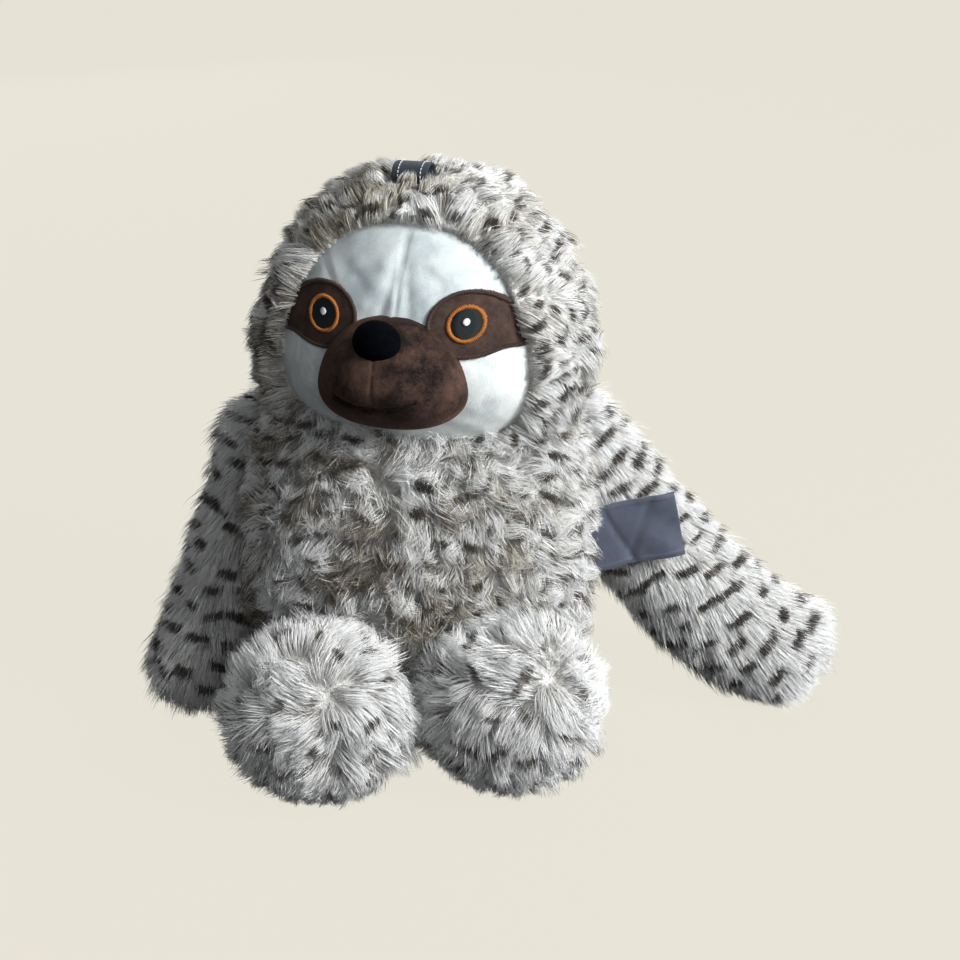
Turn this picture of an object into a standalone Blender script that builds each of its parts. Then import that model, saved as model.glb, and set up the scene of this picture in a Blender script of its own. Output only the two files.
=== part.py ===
"""A sitting plush sloth, sewn from skins of long-pile fur over fibre filling.

Metres, +Z up. The toy sits on z = 0 and looks towards -Y. Its own left side is at +X.
Each stuffed form is lofted from rings: a skin is an open shell of pile and backing, and its
filling is a second solid inside it. A limb turns on the ball at its root, in a socket of the torso.
"""

import math

import bmesh
import bpy
import numpy as np
from mathutils import Matrix, Vector

# Clearances between pieces
SEAM_GAP = 0.0003
JOINT_GAP = 0.0012
NECK_GAP = 0.0008
FLOOR_TRIM = 0.0005
OVERRUN = 0.020
SLIVER = 0.00002
SMALL_HOLE_SIDES = 4
TUFT_DEPTH = 0.0055
FLAT_ANGLE = math.radians(2.0)

# Torso
TORSO_HEIGHT = 0.235
CHEST_HALF_WIDTH = 0.066
CHEST_BOTTOM = 0.100
TORSO_SINK = 0.0035
TORSO_HALF_WIDTH = 0.098
TORSO_HALF_DEPTH = 0.084
TORSO_LEAN = 0.012
TORSO_WIDTH_SHARES = (0.95, 1.10, 1.06, 0.96)
TORSO_DEPTH_SHARES = (0.96, 1.10, 0.98, 0.76)
TORSO_FULLNESS_SHARE = 0.44
BODY_SKIN = 0.012

# Neck: a low dome, round about the axis on which the head turns
NECK_DOME_RADIUS = 0.134
NECK_DOME_RISE = 0.095
NECK_DOME_CENTRE = 0.121
NECK_MOUTH_RADIUS = 0.050
NECK_MOUTH_DEPTH = 0.030

# Head
HEAD_BOTTOM = 0.176
HEAD_HEIGHT = 0.162
HEAD_HALF_WIDTH = 0.094
HEAD_HALF_DEPTH = 0.083
HEAD_FORWARD = 0.010
HEAD_SHIFT = 0.008
HEAD_LEAN = 0.007
HEAD_TURN = math.radians(-17.0)
HEAD_WIDTH_SHARES = (1.06, 1.10, 0.90, 0.73)
HEAD_DEPTH_SHARES = (1.00, 1.08, 0.98, 0.86)
HEAD_FULLNESS_SHARE = 0.62

# Face panel, set below the tips of the pile
FACE_DEPTH = 0.008
FACE_HALF_WIDTH = 0.074
FACE_BOTTOM = 0.012
FACE_HEIGHT = 0.134
FACE_OUTLINE_SHARES = (
    (0.00, 1.00), (0.42, 0.95), (0.74, 0.80), (0.94, 0.56), (1.00, 0.34), (0.90, 0.15),
    (0.62, 0.04), (0.30, 0.00))

# Eye patches, each an almond whose outer end runs under the fur
PATCH_THICKNESS = 0.0012
PATCH_HEIGHT_ON_FACE = 0.094
PATCH_INNER = 0.020
PATCH_LENGTH = 0.052
PATCH_HALF_HEIGHT = 0.0175
PATCH_OUTLINE_SHARES = (
    (0.00, 0.05), (0.08, 0.60), (0.28, 0.96), (0.55, 0.92), (0.80, 0.52), (1.00, 0.10),
    (1.00, -0.72), (0.78, -0.76), (0.50, -0.98), (0.24, -0.94), (0.06, -0.52))

# Embroidered eyes
THREAD_THICKNESS = 0.0008
EYE_SPREAD = 0.0402
EYE_HEIGHT_ON_FACE = 0.0945
EYE_RING_RADIUS = 0.0100
EYE_RING_WIDTH = 0.0021
GLINT_RADIUS = 0.0016
GLINT_RISE = 0.0012

# Muzzle
MUZZLE_HALF_WIDTH = 0.0405
MUZZLE_HALF_HEIGHT = 0.033
MUZZLE_HEIGHT_ON_FACE = 0.062
MUZZLE_LENGTH = 0.088
MUZZLE_ROOT = 0.028
MUZZLE_LIFT = 0.014
MUZZLE_BEND_SHARE = 0.60
MUZZLE_WIDTH_SHARES = (0.90, 1.02, 1.12, 0.76)
MUZZLE_HEIGHT_SHARES = (1.00, 1.06, 1.00, 0.76)
MUZZLE_FULLNESS_SHARE = 0.66
MUZZLE_COVER = 0.0022
NOSE_HALF_WIDTH = 0.0135
NOSE_HALF_HEIGHT = 0.0120
NOSE_HALF_DEPTH = 0.0095
NOSE_RISE = 0.029
MOUTH_HALF_WIDTH = 0.024
MOUTH_DROP = 0.002
MOUTH_SAG = 0.005
MOUTH_THREAD = 0.0014

# Hanging loop of webbing on the crown, in a parting of the pile
WEBBING_WIDTH = 0.021
WEBBING_THICKNESS = 0.0014
LOOP_RISE = 0.016
LOOP_HALF_GAP = 0.0095
LOOP_OFF_MIDDLE = -0.008
LOOP_FORWARD = 0.012
PARTING_HALF_WIDTH = 0.021
PARTING_HALF_DEPTH = 0.016
PARTING_DEPTH = 0.0115

# Arms
ARM_SKIN = 0.009
SHOULDER_RADIUS = 0.033
SHOULDER_SPREAD = 0.087
SHOULDER_BACK = 0.030
SHOULDER_HEIGHT = 0.160
LEFT_ARM_HALF_WIDTH = 0.0330
LEFT_ARM_HALF_DEPTH = 0.0310
LEFT_ARM_REACH = 0.136
LEFT_PAW_BACK = 0.010
LEFT_PAW_HEIGHT = 0.0326
RIGHT_ARM_HALF_WIDTH = 0.0275
RIGHT_ARM_HALF_DEPTH = 0.0350
RIGHT_ARM_REACH = 0.049
RIGHT_PAW_BACK = 0.002
RIGHT_PAW_HEIGHT = 0.0275
PAW_LENGTH = 0.026
ARM_ELBOW_REACH_SHARES = ((0.30, 0.55), (0.40, 0.64))
ARM_ELBOW_DROP_SHARES = ((0.26, 0.80), (0.34, 0.70))
ARM_SWELL_SHARES = (0.94, 1.00, 1.06, 1.02)
PAW_FULLNESS_SHARE = 0.72

LEFT_ARM_SWINGS = [math.radians(angle) for angle in (0.0, 6.7, 13.3, 20.0, 30.0, 40.0)]
RIGHT_ARM_SWINGS = [math.radians(angle) for angle in (0.0, 9.0, 20.0, 34.0, 60.0)]

# Legs
LEG_SKIN = 0.011
HIP_RADIUS = 0.042
HIP_SPREAD = 0.050
HIP_FORWARD = 0.046
FOOT_RADIUS = 0.051
FOOT_LENGTH = 0.046
LEFT_LEG_LENGTH = 0.054
RIGHT_LEG_LENGTH = 0.068
LEFT_LEG_SPLAY = math.radians(2.0)
RIGHT_LEG_SPLAY = math.radians(6.0)
LEG_SWELL_SHARES = (1.00, 0.98, 1.06, 1.19)
FOOT_FULLNESS_SHARE = 0.80
HIP_SWINGS = [math.radians(angle) for angle in (0.0, 4.0, 12.0, 24.0)]

# Ribbon label in the torso's side seam
LABEL_LENGTH = 0.054
LABEL_HEIGHT = 0.041
LABEL_THICKNESS = 0.0010
LABEL_WAVE = 0.0016
LABEL_SEAM_HEIGHT = 0.116
LABEL_SEAM_FORWARD = 0.018
LABEL_BEAD_RADIUS = 0.0010

# Counts
BODY_SIDES = 24
BODY_RINGS = 11
LIMB_SIDES = 16
LIMB_RINGS = 6
CAP_RINGS = 3
OUTLINE_STEPS = 4
PATCH_STEPS = 2
MOUTH_STEPS = 8
LOOP_STEPS = 16
BALL_SEGMENTS = 20
DOME_SEGMENTS = 32
DOME_RINGS = 7

# Exponents of a section's outline: 2 is an ellipse
BODY_POWER = 2.3
ROUND_POWER = 2.0

# Finishes: red, green and blue, then roughness
FUR = ((0.80, 0.79, 0.76), 0.90)
FIBRE = ((0.90, 0.90, 0.88), 0.95)
PANEL_PILE = ((0.86, 0.89, 0.90), 0.70)
MUZZLE_VELVET = ((0.075, 0.040, 0.030), 0.85)
PATCH_VELVET = ((0.095, 0.055, 0.042), 0.85)
NOSE_VELVET = ((0.010, 0.014, 0.022), 0.60)
ORANGE_THREAD = ((0.55, 0.19, 0.030), 0.50)
SLATE_THREAD = ((0.030, 0.040, 0.045), 0.50)
WHITE_THREAD = ((0.90, 0.92, 0.92), 0.50)
BROWN_THREAD = ((0.045, 0.022, 0.016), 0.60)
WEBBING = ((0.050, 0.065, 0.085), 0.80)
RIBBON = ((0.055, 0.065, 0.095), 0.45)


def empty_scene():
    """Remove every object of the scene that the script is run in."""
    for item in list(bpy.data.objects):
        bpy.data.objects.remove(item, do_unlink=True)


def shading(name, colour, roughness):
    """Material of one piece."""
    material = bpy.data.materials.new(name)
    material.use_nodes = True
    shader = material.node_tree.nodes["Principled BSDF"]
    shader.inputs["Base Color"].default_value = (*colour, 1.0)
    shader.inputs["Roughness"].default_value = roughness
    shader.inputs["Metallic"].default_value = 0.0
    return material


def curve_value(values, t):
    """Number or point at t, from 0 to 1, of the Bezier curve with these control values."""
    degree = len(values) - 1
    weights = [math.comb(degree, k) * t**k * (1.0 - t)**(degree - k) for k in range(degree + 1)]
    return sum(weight * np.asarray(value, float) for weight, value in zip(weights, values))


def curve_tangent(points, t):
    """Unit direction of the Bezier curve at t."""
    steps = [np.subtract(after, before) for before, after in zip(points, points[1:])]
    direction = curve_value(steps, t)
    return direction / np.linalg.norm(direction)


def section(centre, tangent, side_axis, half_side, half_other, sides, power):
    """Ring of points round a point of a spine. A power over 2 squares it."""
    side = np.asarray(side_axis, float)
    side = side - tangent * np.dot(side, tangent)
    side = side / np.linalg.norm(side)
    other = np.cross(tangent, side)
    ring = []
    for k in range(sides):
        angle = 2.0 * math.pi * k / sides
        cosine, sine = math.cos(angle), math.sin(angle)
        across = math.copysign(abs(cosine)**(2.0 / power), cosine)
        along = math.copysign(abs(sine)**(2.0 / power), sine)
        ring.append(centre + side * half_side * across + other * half_other * along)
    return ring


def solid(name, mesh):
    """Object that holds a finished mesh."""
    item = bpy.data.objects.new(name, mesh)
    bpy.context.collection.objects.link(item)
    return item


def close_mesh(name, build):
    """Object from a bmesh, with its faces flat and turned outwards."""
    bmesh.ops.triangulate(build, faces=build.faces[:])
    bmesh.ops.recalc_face_normals(build, faces=build.faces[:])
    mesh = bpy.data.meshes.new(name)
    build.to_mesh(mesh)
    build.free()
    return solid(name, mesh)


def loft(name, first_pole, rings, last_pole):
    """Closed solid through rings of equal count, drawn to a point at each end."""
    build = bmesh.new()
    start = build.verts.new(first_pole)
    loops = [[build.verts.new(point) for point in ring] for ring in rings]
    end = build.verts.new(last_pole)
    sides = len(loops[0])
    for k in range(sides):
        following = (k + 1) % sides
        build.faces.new((start, loops[0][following], loops[0][k]))
        build.faces.new((end, loops[-1][k], loops[-1][following]))
        for lower, upper in zip(loops, loops[1:]):
            build.faces.new((lower[k], lower[following], upper[following], upper[k]))
    return close_mesh(name, build)


def part_tufts(rings, tufted):
    """Set in every other point of the rings where the pile is tufted, as between its main tufts."""
    for order, ring in enumerate(rings):
        middle = sum(ring) / len(ring)
        for k, place in enumerate(ring):
            if (order + k) % 2 and tufted(place):
                inward = middle - place
                ring[k] = place + inward * (TUFT_DEPTH / np.linalg.norm(inward))


def soft_form(name, spine, side_axis, side_sizes, other_sizes, fullness_share, inset, tufted=None):
    """Stuffed form along a spine, rounded at both ends, with its surface set in by inset."""
    length = float(np.linalg.norm(np.subtract(spine[-1], spine[0])))
    rings = []
    for k in range(1, BODY_RINGS):
        angle = math.pi * k / BODY_RINGS
        t = 0.5 - 0.5 * math.cos(angle)
        swell = math.sin(angle)**fullness_share
        half_side = (float(curve_value(side_sizes, t)) - inset) * swell
        half_other = (float(curve_value(other_sizes, t)) - inset) * swell
        place = inset / length + t * (1.0 - 2.0 * inset / length)
        rings.append(section(curve_value(spine, place), curve_tangent(spine, place), side_axis,
                             half_side, half_other, BODY_SIDES, BODY_POWER))
    if tufted:
        part_tufts(rings, tufted)
    start = curve_value(spine, inset / length)
    end = curve_value(spine, 1.0 - inset / length)
    return loft(name, start, rings, end)


def scaled(size, shares):
    """Sizes that follow one size by shares."""
    return [size * share for share in shares]


def ball(name, centre, radii, segments):
    """Ellipsoid."""
    build = bmesh.new()
    bmesh.ops.create_uvsphere(build, u_segments=segments, v_segments=segments // 2, radius=1.0)
    bmesh.ops.scale(build, vec=Vector(radii), verts=build.verts[:])
    bmesh.ops.translate(build, vec=Vector(centre), verts=build.verts[:])
    return close_mesh(name, build)


def block(name, low, high):
    """Box between two corners."""
    build = bmesh.new()
    bmesh.ops.create_cube(build, size=1.0)
    size = Vector(high) - Vector(low)
    bmesh.ops.scale(build, vec=size, verts=build.verts[:])
    bmesh.ops.translate(build, vec=(Vector(high) + Vector(low)) / 2.0, verts=build.verts[:])
    return close_mesh(name, build)


def rod(name, centre, axis, radius, depth, segments):
    """Cylinder round an axis."""
    build = bmesh.new()
    bmesh.ops.create_cone(build, cap_ends=True, segments=segments, radius1=radius, radius2=radius,
                          depth=depth)
    turn = Vector((0.0, 0.0, 1.0)).rotation_difference(Vector(axis)).to_matrix().to_4x4()
    turn = turn @ Matrix.Rotation(math.pi / segments, 4, "Z")
    bmesh.ops.transform(build, matrix=Matrix.Translation(centre) @ turn, verts=build.verts[:])
    return close_mesh(name, build)


def prism(name, outline, front, back):
    """Outline in x and z, extruded along y."""
    build = bmesh.new()
    near = [build.verts.new((x, front, z)) for x, z in outline]
    far = [build.verts.new((x, back, z)) for x, z in outline]
    count = len(outline)
    build.faces.new(near)
    build.faces.new(list(reversed(far)))
    for k in range(count):
        following = (k + 1) % count
        build.faces.new((near[k], far[k], far[following], near[following]))
    return close_mesh(name, build)


def rounded(points, steps):
    """Closed smooth outline through points, as a Catmull-Rom curve."""
    count = len(points)
    outline = []
    for k in range(count):
        before, start, end, after = (np.asarray(points[(k + step) % count], float)
                                     for step in (-1, 0, 1, 2))
        for j in range(steps):
            t = j / steps
            outline.append(0.5 * (2.0 * start + (end - before) * t
                                  + (2.0 * before - 5.0 * start + 4.0 * end - after) * t**2
                                  + (3.0 * start - before - 3.0 * end + after) * t**3))
    return outline


def combine(target, tool, operation):
    """Boolean of two objects, kept on the first. The tool stays."""
    modifier = target.modifiers.new(operation, "BOOLEAN")
    modifier.operation = operation
    modifier.solver = "EXACT"
    modifier.object = tool
    graph = bpy.context.evaluated_depsgraph_get()
    mesh = bpy.data.meshes.new_from_object(target.evaluated_get(graph))
    target.modifiers.clear()
    target.data = mesh
    return target


def crumbs(build):
    """Vertices of every island of a mesh but its largest."""
    left, islands = set(build.verts), []
    while left:
        island, front = set(), {left.pop()}
        while front:
            island |= front
            front = {edge.other_vert(vert) for vert in front for edge in vert.link_edges} - island
        islands.append(island)
        left -= island
    islands.sort(key=len)
    return [vert for island in islands[:-1] for vert in island]


def simplify(piece):
    """Merge the flat slivers and drop the crumbs that cuts leave, and close needle-thin triangles."""
    build = bmesh.new()
    build.from_mesh(piece.data)
    bmesh.ops.dissolve_limit(build, angle_limit=FLAT_ANGLE, verts=build.verts[:],
                             edges=build.edges[:])
    bmesh.ops.triangulate(build, faces=build.faces[:])
    bmesh.ops.dissolve_degenerate(build, dist=SLIVER, edges=build.edges[:])
    bmesh.ops.triangulate(build, faces=build.faces[:])
    corners = [frozenset(face.verts) for face in build.faces]
    flat_pairs = [face for face, key in zip(build.faces, corners) if corners.count(key) > 1]
    bmesh.ops.delete(build, geom=flat_pairs, context="FACES")
    stray = [face for face in build.faces if all(edge.is_boundary for edge in face.edges)]
    bmesh.ops.delete(build, geom=stray, context="FACES")
    rims = [edge for edge in build.edges if edge.is_boundary]
    bmesh.ops.holes_fill(build, edges=rims, sides=SMALL_HOLE_SIDES)
    bmesh.ops.delete(build, geom=crumbs(build), context="VERTS")
    bmesh.ops.recalc_face_normals(build, faces=build.faces[:])
    build.to_mesh(piece.data)
    build.free()


def drop(*items):
    """Remove helper solids."""
    for item in items:
        bpy.data.objects.remove(item, do_unlink=True)


def cut(target, *tools):
    """Take tools away from a piece and remove them."""
    for tool in tools:
        combine(target, tool, "DIFFERENCE")
        drop(tool)
    return target


def keep(target, *tools):
    """Keep what a piece shares with each tool and remove the tools."""
    for tool in tools:
        combine(target, tool, "INTERSECT")
        drop(tool)
    return target


def pivot(name, place, turn=0.0):
    """Empty on a joint's axis, which carries the pieces that move about it."""
    empty = bpy.data.objects.new(name, None)
    empty.location = place
    empty.rotation_euler = (0.0, 0.0, turn)
    bpy.context.collection.objects.link(empty)
    return empty


def hand_over(pieces, carrier, finishes):
    """Move pieces' origins to a pivot, parent them to it and give each its material."""
    for piece in pieces:
        simplify(piece)
        piece.data.transform(Matrix.Translation(-Vector(carrier.location)))
        piece.parent = carrier
        colour, roughness = finishes[piece.name]
        piece.data.materials.clear()
        piece.data.materials.append(shading(piece.name, colour, roughness))
        piece.data.shade_smooth()


def torso_spine():
    """Control points of the torso's middle line, from the seat to the neck."""
    return ((0.0, -TORSO_LEAN / 2.0, -TORSO_SINK), (0.0, -TORSO_LEAN, TORSO_HEIGHT / 2.0),
            (0.0, TORSO_LEAN / 2.0, TORSO_HEIGHT))


def torso_form(name, inset, tufted=None):
    """Barrel of the body, widest low down, leaning a little back at the neck."""
    return soft_form(name, torso_spine(), (1.0, 0.0, 0.0), scaled(TORSO_HALF_WIDTH, TORSO_WIDTH_SHARES),
                     scaled(TORSO_HALF_DEPTH, TORSO_DEPTH_SHARES), TORSO_FULLNESS_SHARE, inset, tufted)


def neck_dome(growth):
    """Low dome that the head turns on, over a straight column that holds the whole torso."""
    radius, rise = NECK_DOME_RADIUS + growth, NECK_DOME_RISE + growth
    upright, side_axis = np.asarray((0.0, 0.0, 1.0)), (1.0, 0.0, 0.0)
    rings = []
    for k in range(DOME_RINGS):
        angle = 0.5 * math.pi * (1.0 - k / DOME_RINGS)
        centre = np.asarray((0.0, 0.0, NECK_DOME_CENTRE + rise * math.cos(angle)))
        rings.append(section(centre, upright, side_axis, radius * math.sin(angle),
                             radius * math.sin(angle), DOME_SEGMENTS, ROUND_POWER))
    foot = np.asarray((0.0, 0.0, -OVERRUN))
    rings.insert(0, section(foot, upright, side_axis, radius, radius, DOME_SEGMENTS, ROUND_POWER))
    return loft("neck_dome", foot, rings, (0.0, 0.0, NECK_DOME_CENTRE + rise))


def neck_plug(radius):
    """Column through the neck's mouth."""
    top = NECK_DOME_CENTRE + NECK_DOME_RISE
    bottom = top - NECK_MOUTH_DEPTH
    return rod("neck_plug", (0.0, 0.0, (bottom + top + OVERRUN) / 2.0), (0.0, 0.0, 1.0), radius,
               top + OVERRUN - bottom, BODY_SIDES)


def below_floor():
    """Slab under the resting plane."""
    reach = TORSO_HEIGHT * 2.0
    return block("below_floor", (-reach, -reach, -reach), (reach, reach, 0.0))


def shoulder(side):
    """Centre of a shoulder's ball."""
    return (side * SHOULDER_SPREAD, SHOULDER_BACK, SHOULDER_HEIGHT)


def hip(side):
    """Centre of a hip's ball."""
    return (side * HIP_SPREAD, -HIP_FORWARD, HIP_RADIUS + JOINT_GAP)


def sockets(clearance):
    """Balls of the four limbs' roots, grown by a clearance."""
    balls = []
    for side in (-1.0, 1.0):
        balls.append(ball("socket", shoulder(side), [SHOULDER_RADIUS + clearance] * 3,
                          BALL_SEGMENTS))
        balls.append(ball("socket", hip(side), [HIP_RADIUS + clearance] * 3, BALL_SEGMENTS))
    return balls


def free_of_torso(pieces, place, axis, swings):
    """Cut a limb's pieces clear of the torso at rest and at each angle that the limb swings to."""
    there = Matrix.Translation(place)
    for order, swing in enumerate(swings):
        growth = SEAM_GAP * (1.0 + order / len(swings))
        clearance = keep(torso_form("torso_clearance", -growth), neck_dome(growth))
        cut(clearance, *sockets(JOINT_GAP - growth))
        turn = there @ Matrix.Rotation(-swing, 4, Vector(axis)) @ there.inverted()
        clearance.data.transform(turn)
        for piece in pieces:
            combine(piece, clearance, "DIFFERENCE")
            simplify(piece)
        drop(clearance)


def arm_path(side):
    """Control points of an arm's spine, from shoulder to paw."""
    if side > 0.0:
        reach, back, height, pick = LEFT_ARM_REACH, LEFT_PAW_BACK, LEFT_PAW_HEIGHT, 0
    else:
        reach, back, height, pick = RIGHT_ARM_REACH, RIGHT_PAW_BACK, RIGHT_PAW_HEIGHT, 1
    start = np.asarray(shoulder(side))
    end = np.asarray((side * (SHOULDER_SPREAD + reach), back, height))
    path = [start]
    for reach_share, drop_share in zip(ARM_ELBOW_REACH_SHARES[pick], ARM_ELBOW_DROP_SHARES[pick]):
        path.append(np.asarray((start[0] + (end[0] - start[0]) * reach_share,
                                start[1] + (end[1] - start[1]) * reach_share,
                                start[2] + (end[2] - start[2]) * drop_share)))
    path.append(end)
    return path


def leg_path(side):
    """Control points of a leg's spine, from hip to foot."""
    length = LEFT_LEG_LENGTH if side > 0.0 else RIGHT_LEG_LENGTH
    splay = LEFT_LEG_SPLAY if side > 0.0 else RIGHT_LEG_SPLAY
    start = np.asarray(hip(side))
    forward = np.asarray((side * math.sin(splay), -math.cos(splay), 0.0))
    knee, end = start + forward * length / 2.0, start + forward * length
    knee[2] = end[2] = FOOT_RADIUS - FLOOR_TRIM
    return [start, knee, end]


def limb_sections(path, side_axis, side_sizes, other_sizes, inset):
    """Rings of a limb along its spine."""
    rings = []
    for k in range(LIMB_RINGS + 1):
        t = k / LIMB_RINGS
        rings.append(section(curve_value(path, t), curve_tangent(path, t), side_axis,
                             float(curve_value(side_sizes, t)) - inset,
                             float(curve_value(other_sizes, t)) - inset, LIMB_SIDES, ROUND_POWER))
    return rings


def limb_tip(path, side_axis, side_sizes, other_sizes, inset, length, fullness_share):
    """Rings and pole of a limb's rounded end."""
    tangent = curve_tangent(path, 1.0)
    rings = []
    for k in range(1, CAP_RINGS + 1):
        angle = 0.5 * math.pi * k / (CAP_RINGS + 1)
        swell = math.cos(angle)**fullness_share
        centre = path[-1] + tangent * (length - inset) * math.sin(angle)
        rings.append(section(centre, tangent, side_axis, (side_sizes[-1] - inset) * swell,
                             (other_sizes[-1] - inset) * swell, LIMB_SIDES, ROUND_POWER))
    return rings, path[-1] + tangent * (length - inset)


def limb_root(path, side_axis, radius):
    """Rings and pole of the ball that a limb turns on, up to its middle."""
    tangent = curve_tangent(path, 0.0)
    rings = []
    for k in range(1, CAP_RINGS + 1):
        angle = 0.5 * math.pi * k / (CAP_RINGS + 1)
        swell = radius * math.sin(angle)
        rings.append(section(path[0] - tangent * radius * math.cos(angle), tangent, side_axis,
                             swell, swell, LIMB_SIDES, ROUND_POWER))
    return rings, path[0] - tangent * radius


def limb_form(path, side_axis, side_sizes, other_sizes, tip, inset):
    """Pole, rings and pole of a limb from its ball to its rounded end, set in by inset."""
    length, fullness_share = tip
    sizes = (path, side_axis, side_sizes, other_sizes)
    root, root_pole = limb_root(path, side_axis, side_sizes[0] - inset)
    end, end_pole = limb_tip(*sizes, inset, length, fullness_share)
    return root_pole, root + limb_sections(*sizes, inset) + end, end_pole


def limb(name, path, side_axis, side_sizes, other_sizes, tip, skin):
    """Skin, open where its ball faces into the body, and filling of one limb."""
    form = (path, side_axis, side_sizes, other_sizes, tip)
    _, outer, outer_pole = limb_form(*form, 0.0)
    _, inner, inner_pole = limb_form(*form, skin)
    cover = loft(name + "_skin", inner_pole, inner[::-1] + outer, outer_pole)
    return cover, loft(name + "_stuffing", *limb_form(*form, skin + SEAM_GAP))


def on_chest(place):
    """Whether a place lies on the chest, clear of the limbs and the label."""
    return abs(place[0]) < CHEST_HALF_WIDTH and place[1] < 0.0 and place[2] > CHEST_BOTTOM


def on_hood(place):
    """Whether a place lies on the hood, clear of the neck and the face."""
    beside_face = abs(place[0] - HEAD_SHIFT) > FACE_HALF_WIDTH or place[1] > 0.0
    return place[2] > HEAD_BOTTOM + FACE_BOTTOM and (beside_face or place[2] > HEAD_BOTTOM + FACE_HEIGHT)


def make_torso():
    """Body skin, its neck open and its sides hollowed for the limbs, and the filling."""
    skin = keep(torso_form("torso_fur_skin", 0.0, on_chest), neck_dome(0.0))
    cut(skin, torso_form("torso_inside", BODY_SKIN), neck_plug(NECK_MOUTH_RADIUS), below_floor())
    cut(skin, *sockets(JOINT_GAP))
    cut(skin, label_groove())

    filling = torso_form("torso_stuffing", BODY_SKIN + SEAM_GAP)
    plug = neck_plug(NECK_MOUTH_RADIUS - SEAM_GAP)
    combine(filling, plug, "UNION")
    drop(plug)
    keep(filling, torso_form("torso_outside", 0.0), neck_dome(0.0))
    cut(filling, *sockets(JOINT_GAP))
    return [skin, filling]


def make_arm(side):
    """One arm, pressed flat where it lies against the torso."""
    name = "left_arm" if side > 0.0 else "right_arm"
    half_width = LEFT_ARM_HALF_WIDTH if side > 0.0 else RIGHT_ARM_HALF_WIDTH
    half_depth = LEFT_ARM_HALF_DEPTH if side > 0.0 else RIGHT_ARM_HALF_DEPTH
    swings = LEFT_ARM_SWINGS if side > 0.0 else RIGHT_ARM_SWINGS
    depths = [SHOULDER_RADIUS] + scaled(half_depth, ARM_SWELL_SHARES)
    widths = [SHOULDER_RADIUS] + scaled(half_width, ARM_SWELL_SHARES)
    skin, filling = limb(name, arm_path(side), (0.0, 1.0, 0.0), depths, widths,
                         (PAW_LENGTH, PAW_FULLNESS_SHARE), ARM_SKIN)
    cut(skin, below_floor())
    free_of_torso([skin, filling], shoulder(side), (0.0, -side, 0.0), swings)
    return [skin, filling]


def make_leg(side):
    """One leg, short and forward, ending in a round foot."""
    name = "left_leg" if side > 0.0 else "right_leg"
    sizes = [HIP_RADIUS] + scaled(FOOT_RADIUS / LEG_SWELL_SHARES[-1], LEG_SWELL_SHARES)
    skin, filling = limb(name, leg_path(side), (1.0, 0.0, 0.0), sizes, sizes,
                         (FOOT_LENGTH, FOOT_FULLNESS_SHARE), LEG_SKIN)
    cut(skin, below_floor())
    free_of_torso([skin, filling], hip(side), (0.0, 0.0, side), HIP_SWINGS)
    return [skin, filling]


def head_form(name, inset, tufted=None):
    """Hood-shaped head, full at the cheeks and narrower at the crown."""
    top = HEAD_BOTTOM + HEAD_HEIGHT
    spine = ((HEAD_SHIFT, -HEAD_FORWARD, HEAD_BOTTOM),
             (HEAD_SHIFT - HEAD_LEAN, -HEAD_FORWARD / 2.0, top))
    return soft_form(name, spine, (1.0, 0.0, 0.0), scaled(HEAD_HALF_WIDTH, HEAD_WIDTH_SHARES),
                     scaled(HEAD_HALF_DEPTH, HEAD_DEPTH_SHARES), HEAD_FULLNESS_SHARE, inset, tufted)


def face_slab(name, depth, thickness):
    """Layer of the head between two depths."""
    return cut(head_form(name, depth), head_form("under_" + name, depth + thickness))


def face_outline(growth):
    """Egg-shaped outline of the face panel, in x and height."""
    right = [(share * (FACE_HALF_WIDTH + growth), FACE_BOTTOM - growth
              + rise * (FACE_HEIGHT + 2.0 * growth)) for share, rise in FACE_OUTLINE_SHARES]
    left = [(-x, z) for x, z in reversed(right) if x > 0.0]
    return rounded([(HEAD_SHIFT + x, HEAD_BOTTOM + z) for x, z in right + left], OUTLINE_STEPS)


def patch_outline(side):
    """Almond outline of one eye patch."""
    middle = HEAD_BOTTOM + PATCH_HEIGHT_ON_FACE
    points = [(HEAD_SHIFT + side * (PATCH_INNER + along * PATCH_LENGTH),
               middle + rise * PATCH_HALF_HEIGHT) for along, rise in PATCH_OUTLINE_SHARES]
    return rounded(points, PATCH_STEPS)


def circle(side, radius, rise=0.0):
    """Circle round the middle of one eye."""
    middle_x = HEAD_SHIFT + side * EYE_SPREAD
    middle_z = HEAD_BOTTOM + EYE_HEIGHT_ON_FACE + rise
    return [(middle_x + radius * math.cos(2.0 * math.pi * k / LIMB_SIDES),
             middle_z + radius * math.sin(2.0 * math.pi * k / LIMB_SIDES))
            for k in range(LIMB_SIDES)]


def face_prism(outline):
    """Outline carried from inside the head out past the face."""
    return prism("face_prism", outline, -(HEAD_HALF_DEPTH + HEAD_FORWARD + OVERRUN), -OVERRUN)


def muzzle_form(name, inset):
    """Bulging muzzle, rising a little towards the nose."""
    middle = HEAD_BOTTOM + MUZZLE_HEIGHT_ON_FACE
    root = -MUZZLE_ROOT
    spine = ((HEAD_SHIFT, root, middle), (HEAD_SHIFT, root - MUZZLE_LENGTH * MUZZLE_BEND_SHARE, middle),
             (HEAD_SHIFT, root - MUZZLE_LENGTH, middle + MUZZLE_LIFT))
    return soft_form(name, spine, (1.0, 0.0, 0.0),
                     scaled(MUZZLE_HALF_WIDTH, MUZZLE_WIDTH_SHARES),
                     scaled(MUZZLE_HALF_HEIGHT, MUZZLE_HEIGHT_SHARES),
                     MUZZLE_FULLNESS_SHARE, inset)


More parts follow.
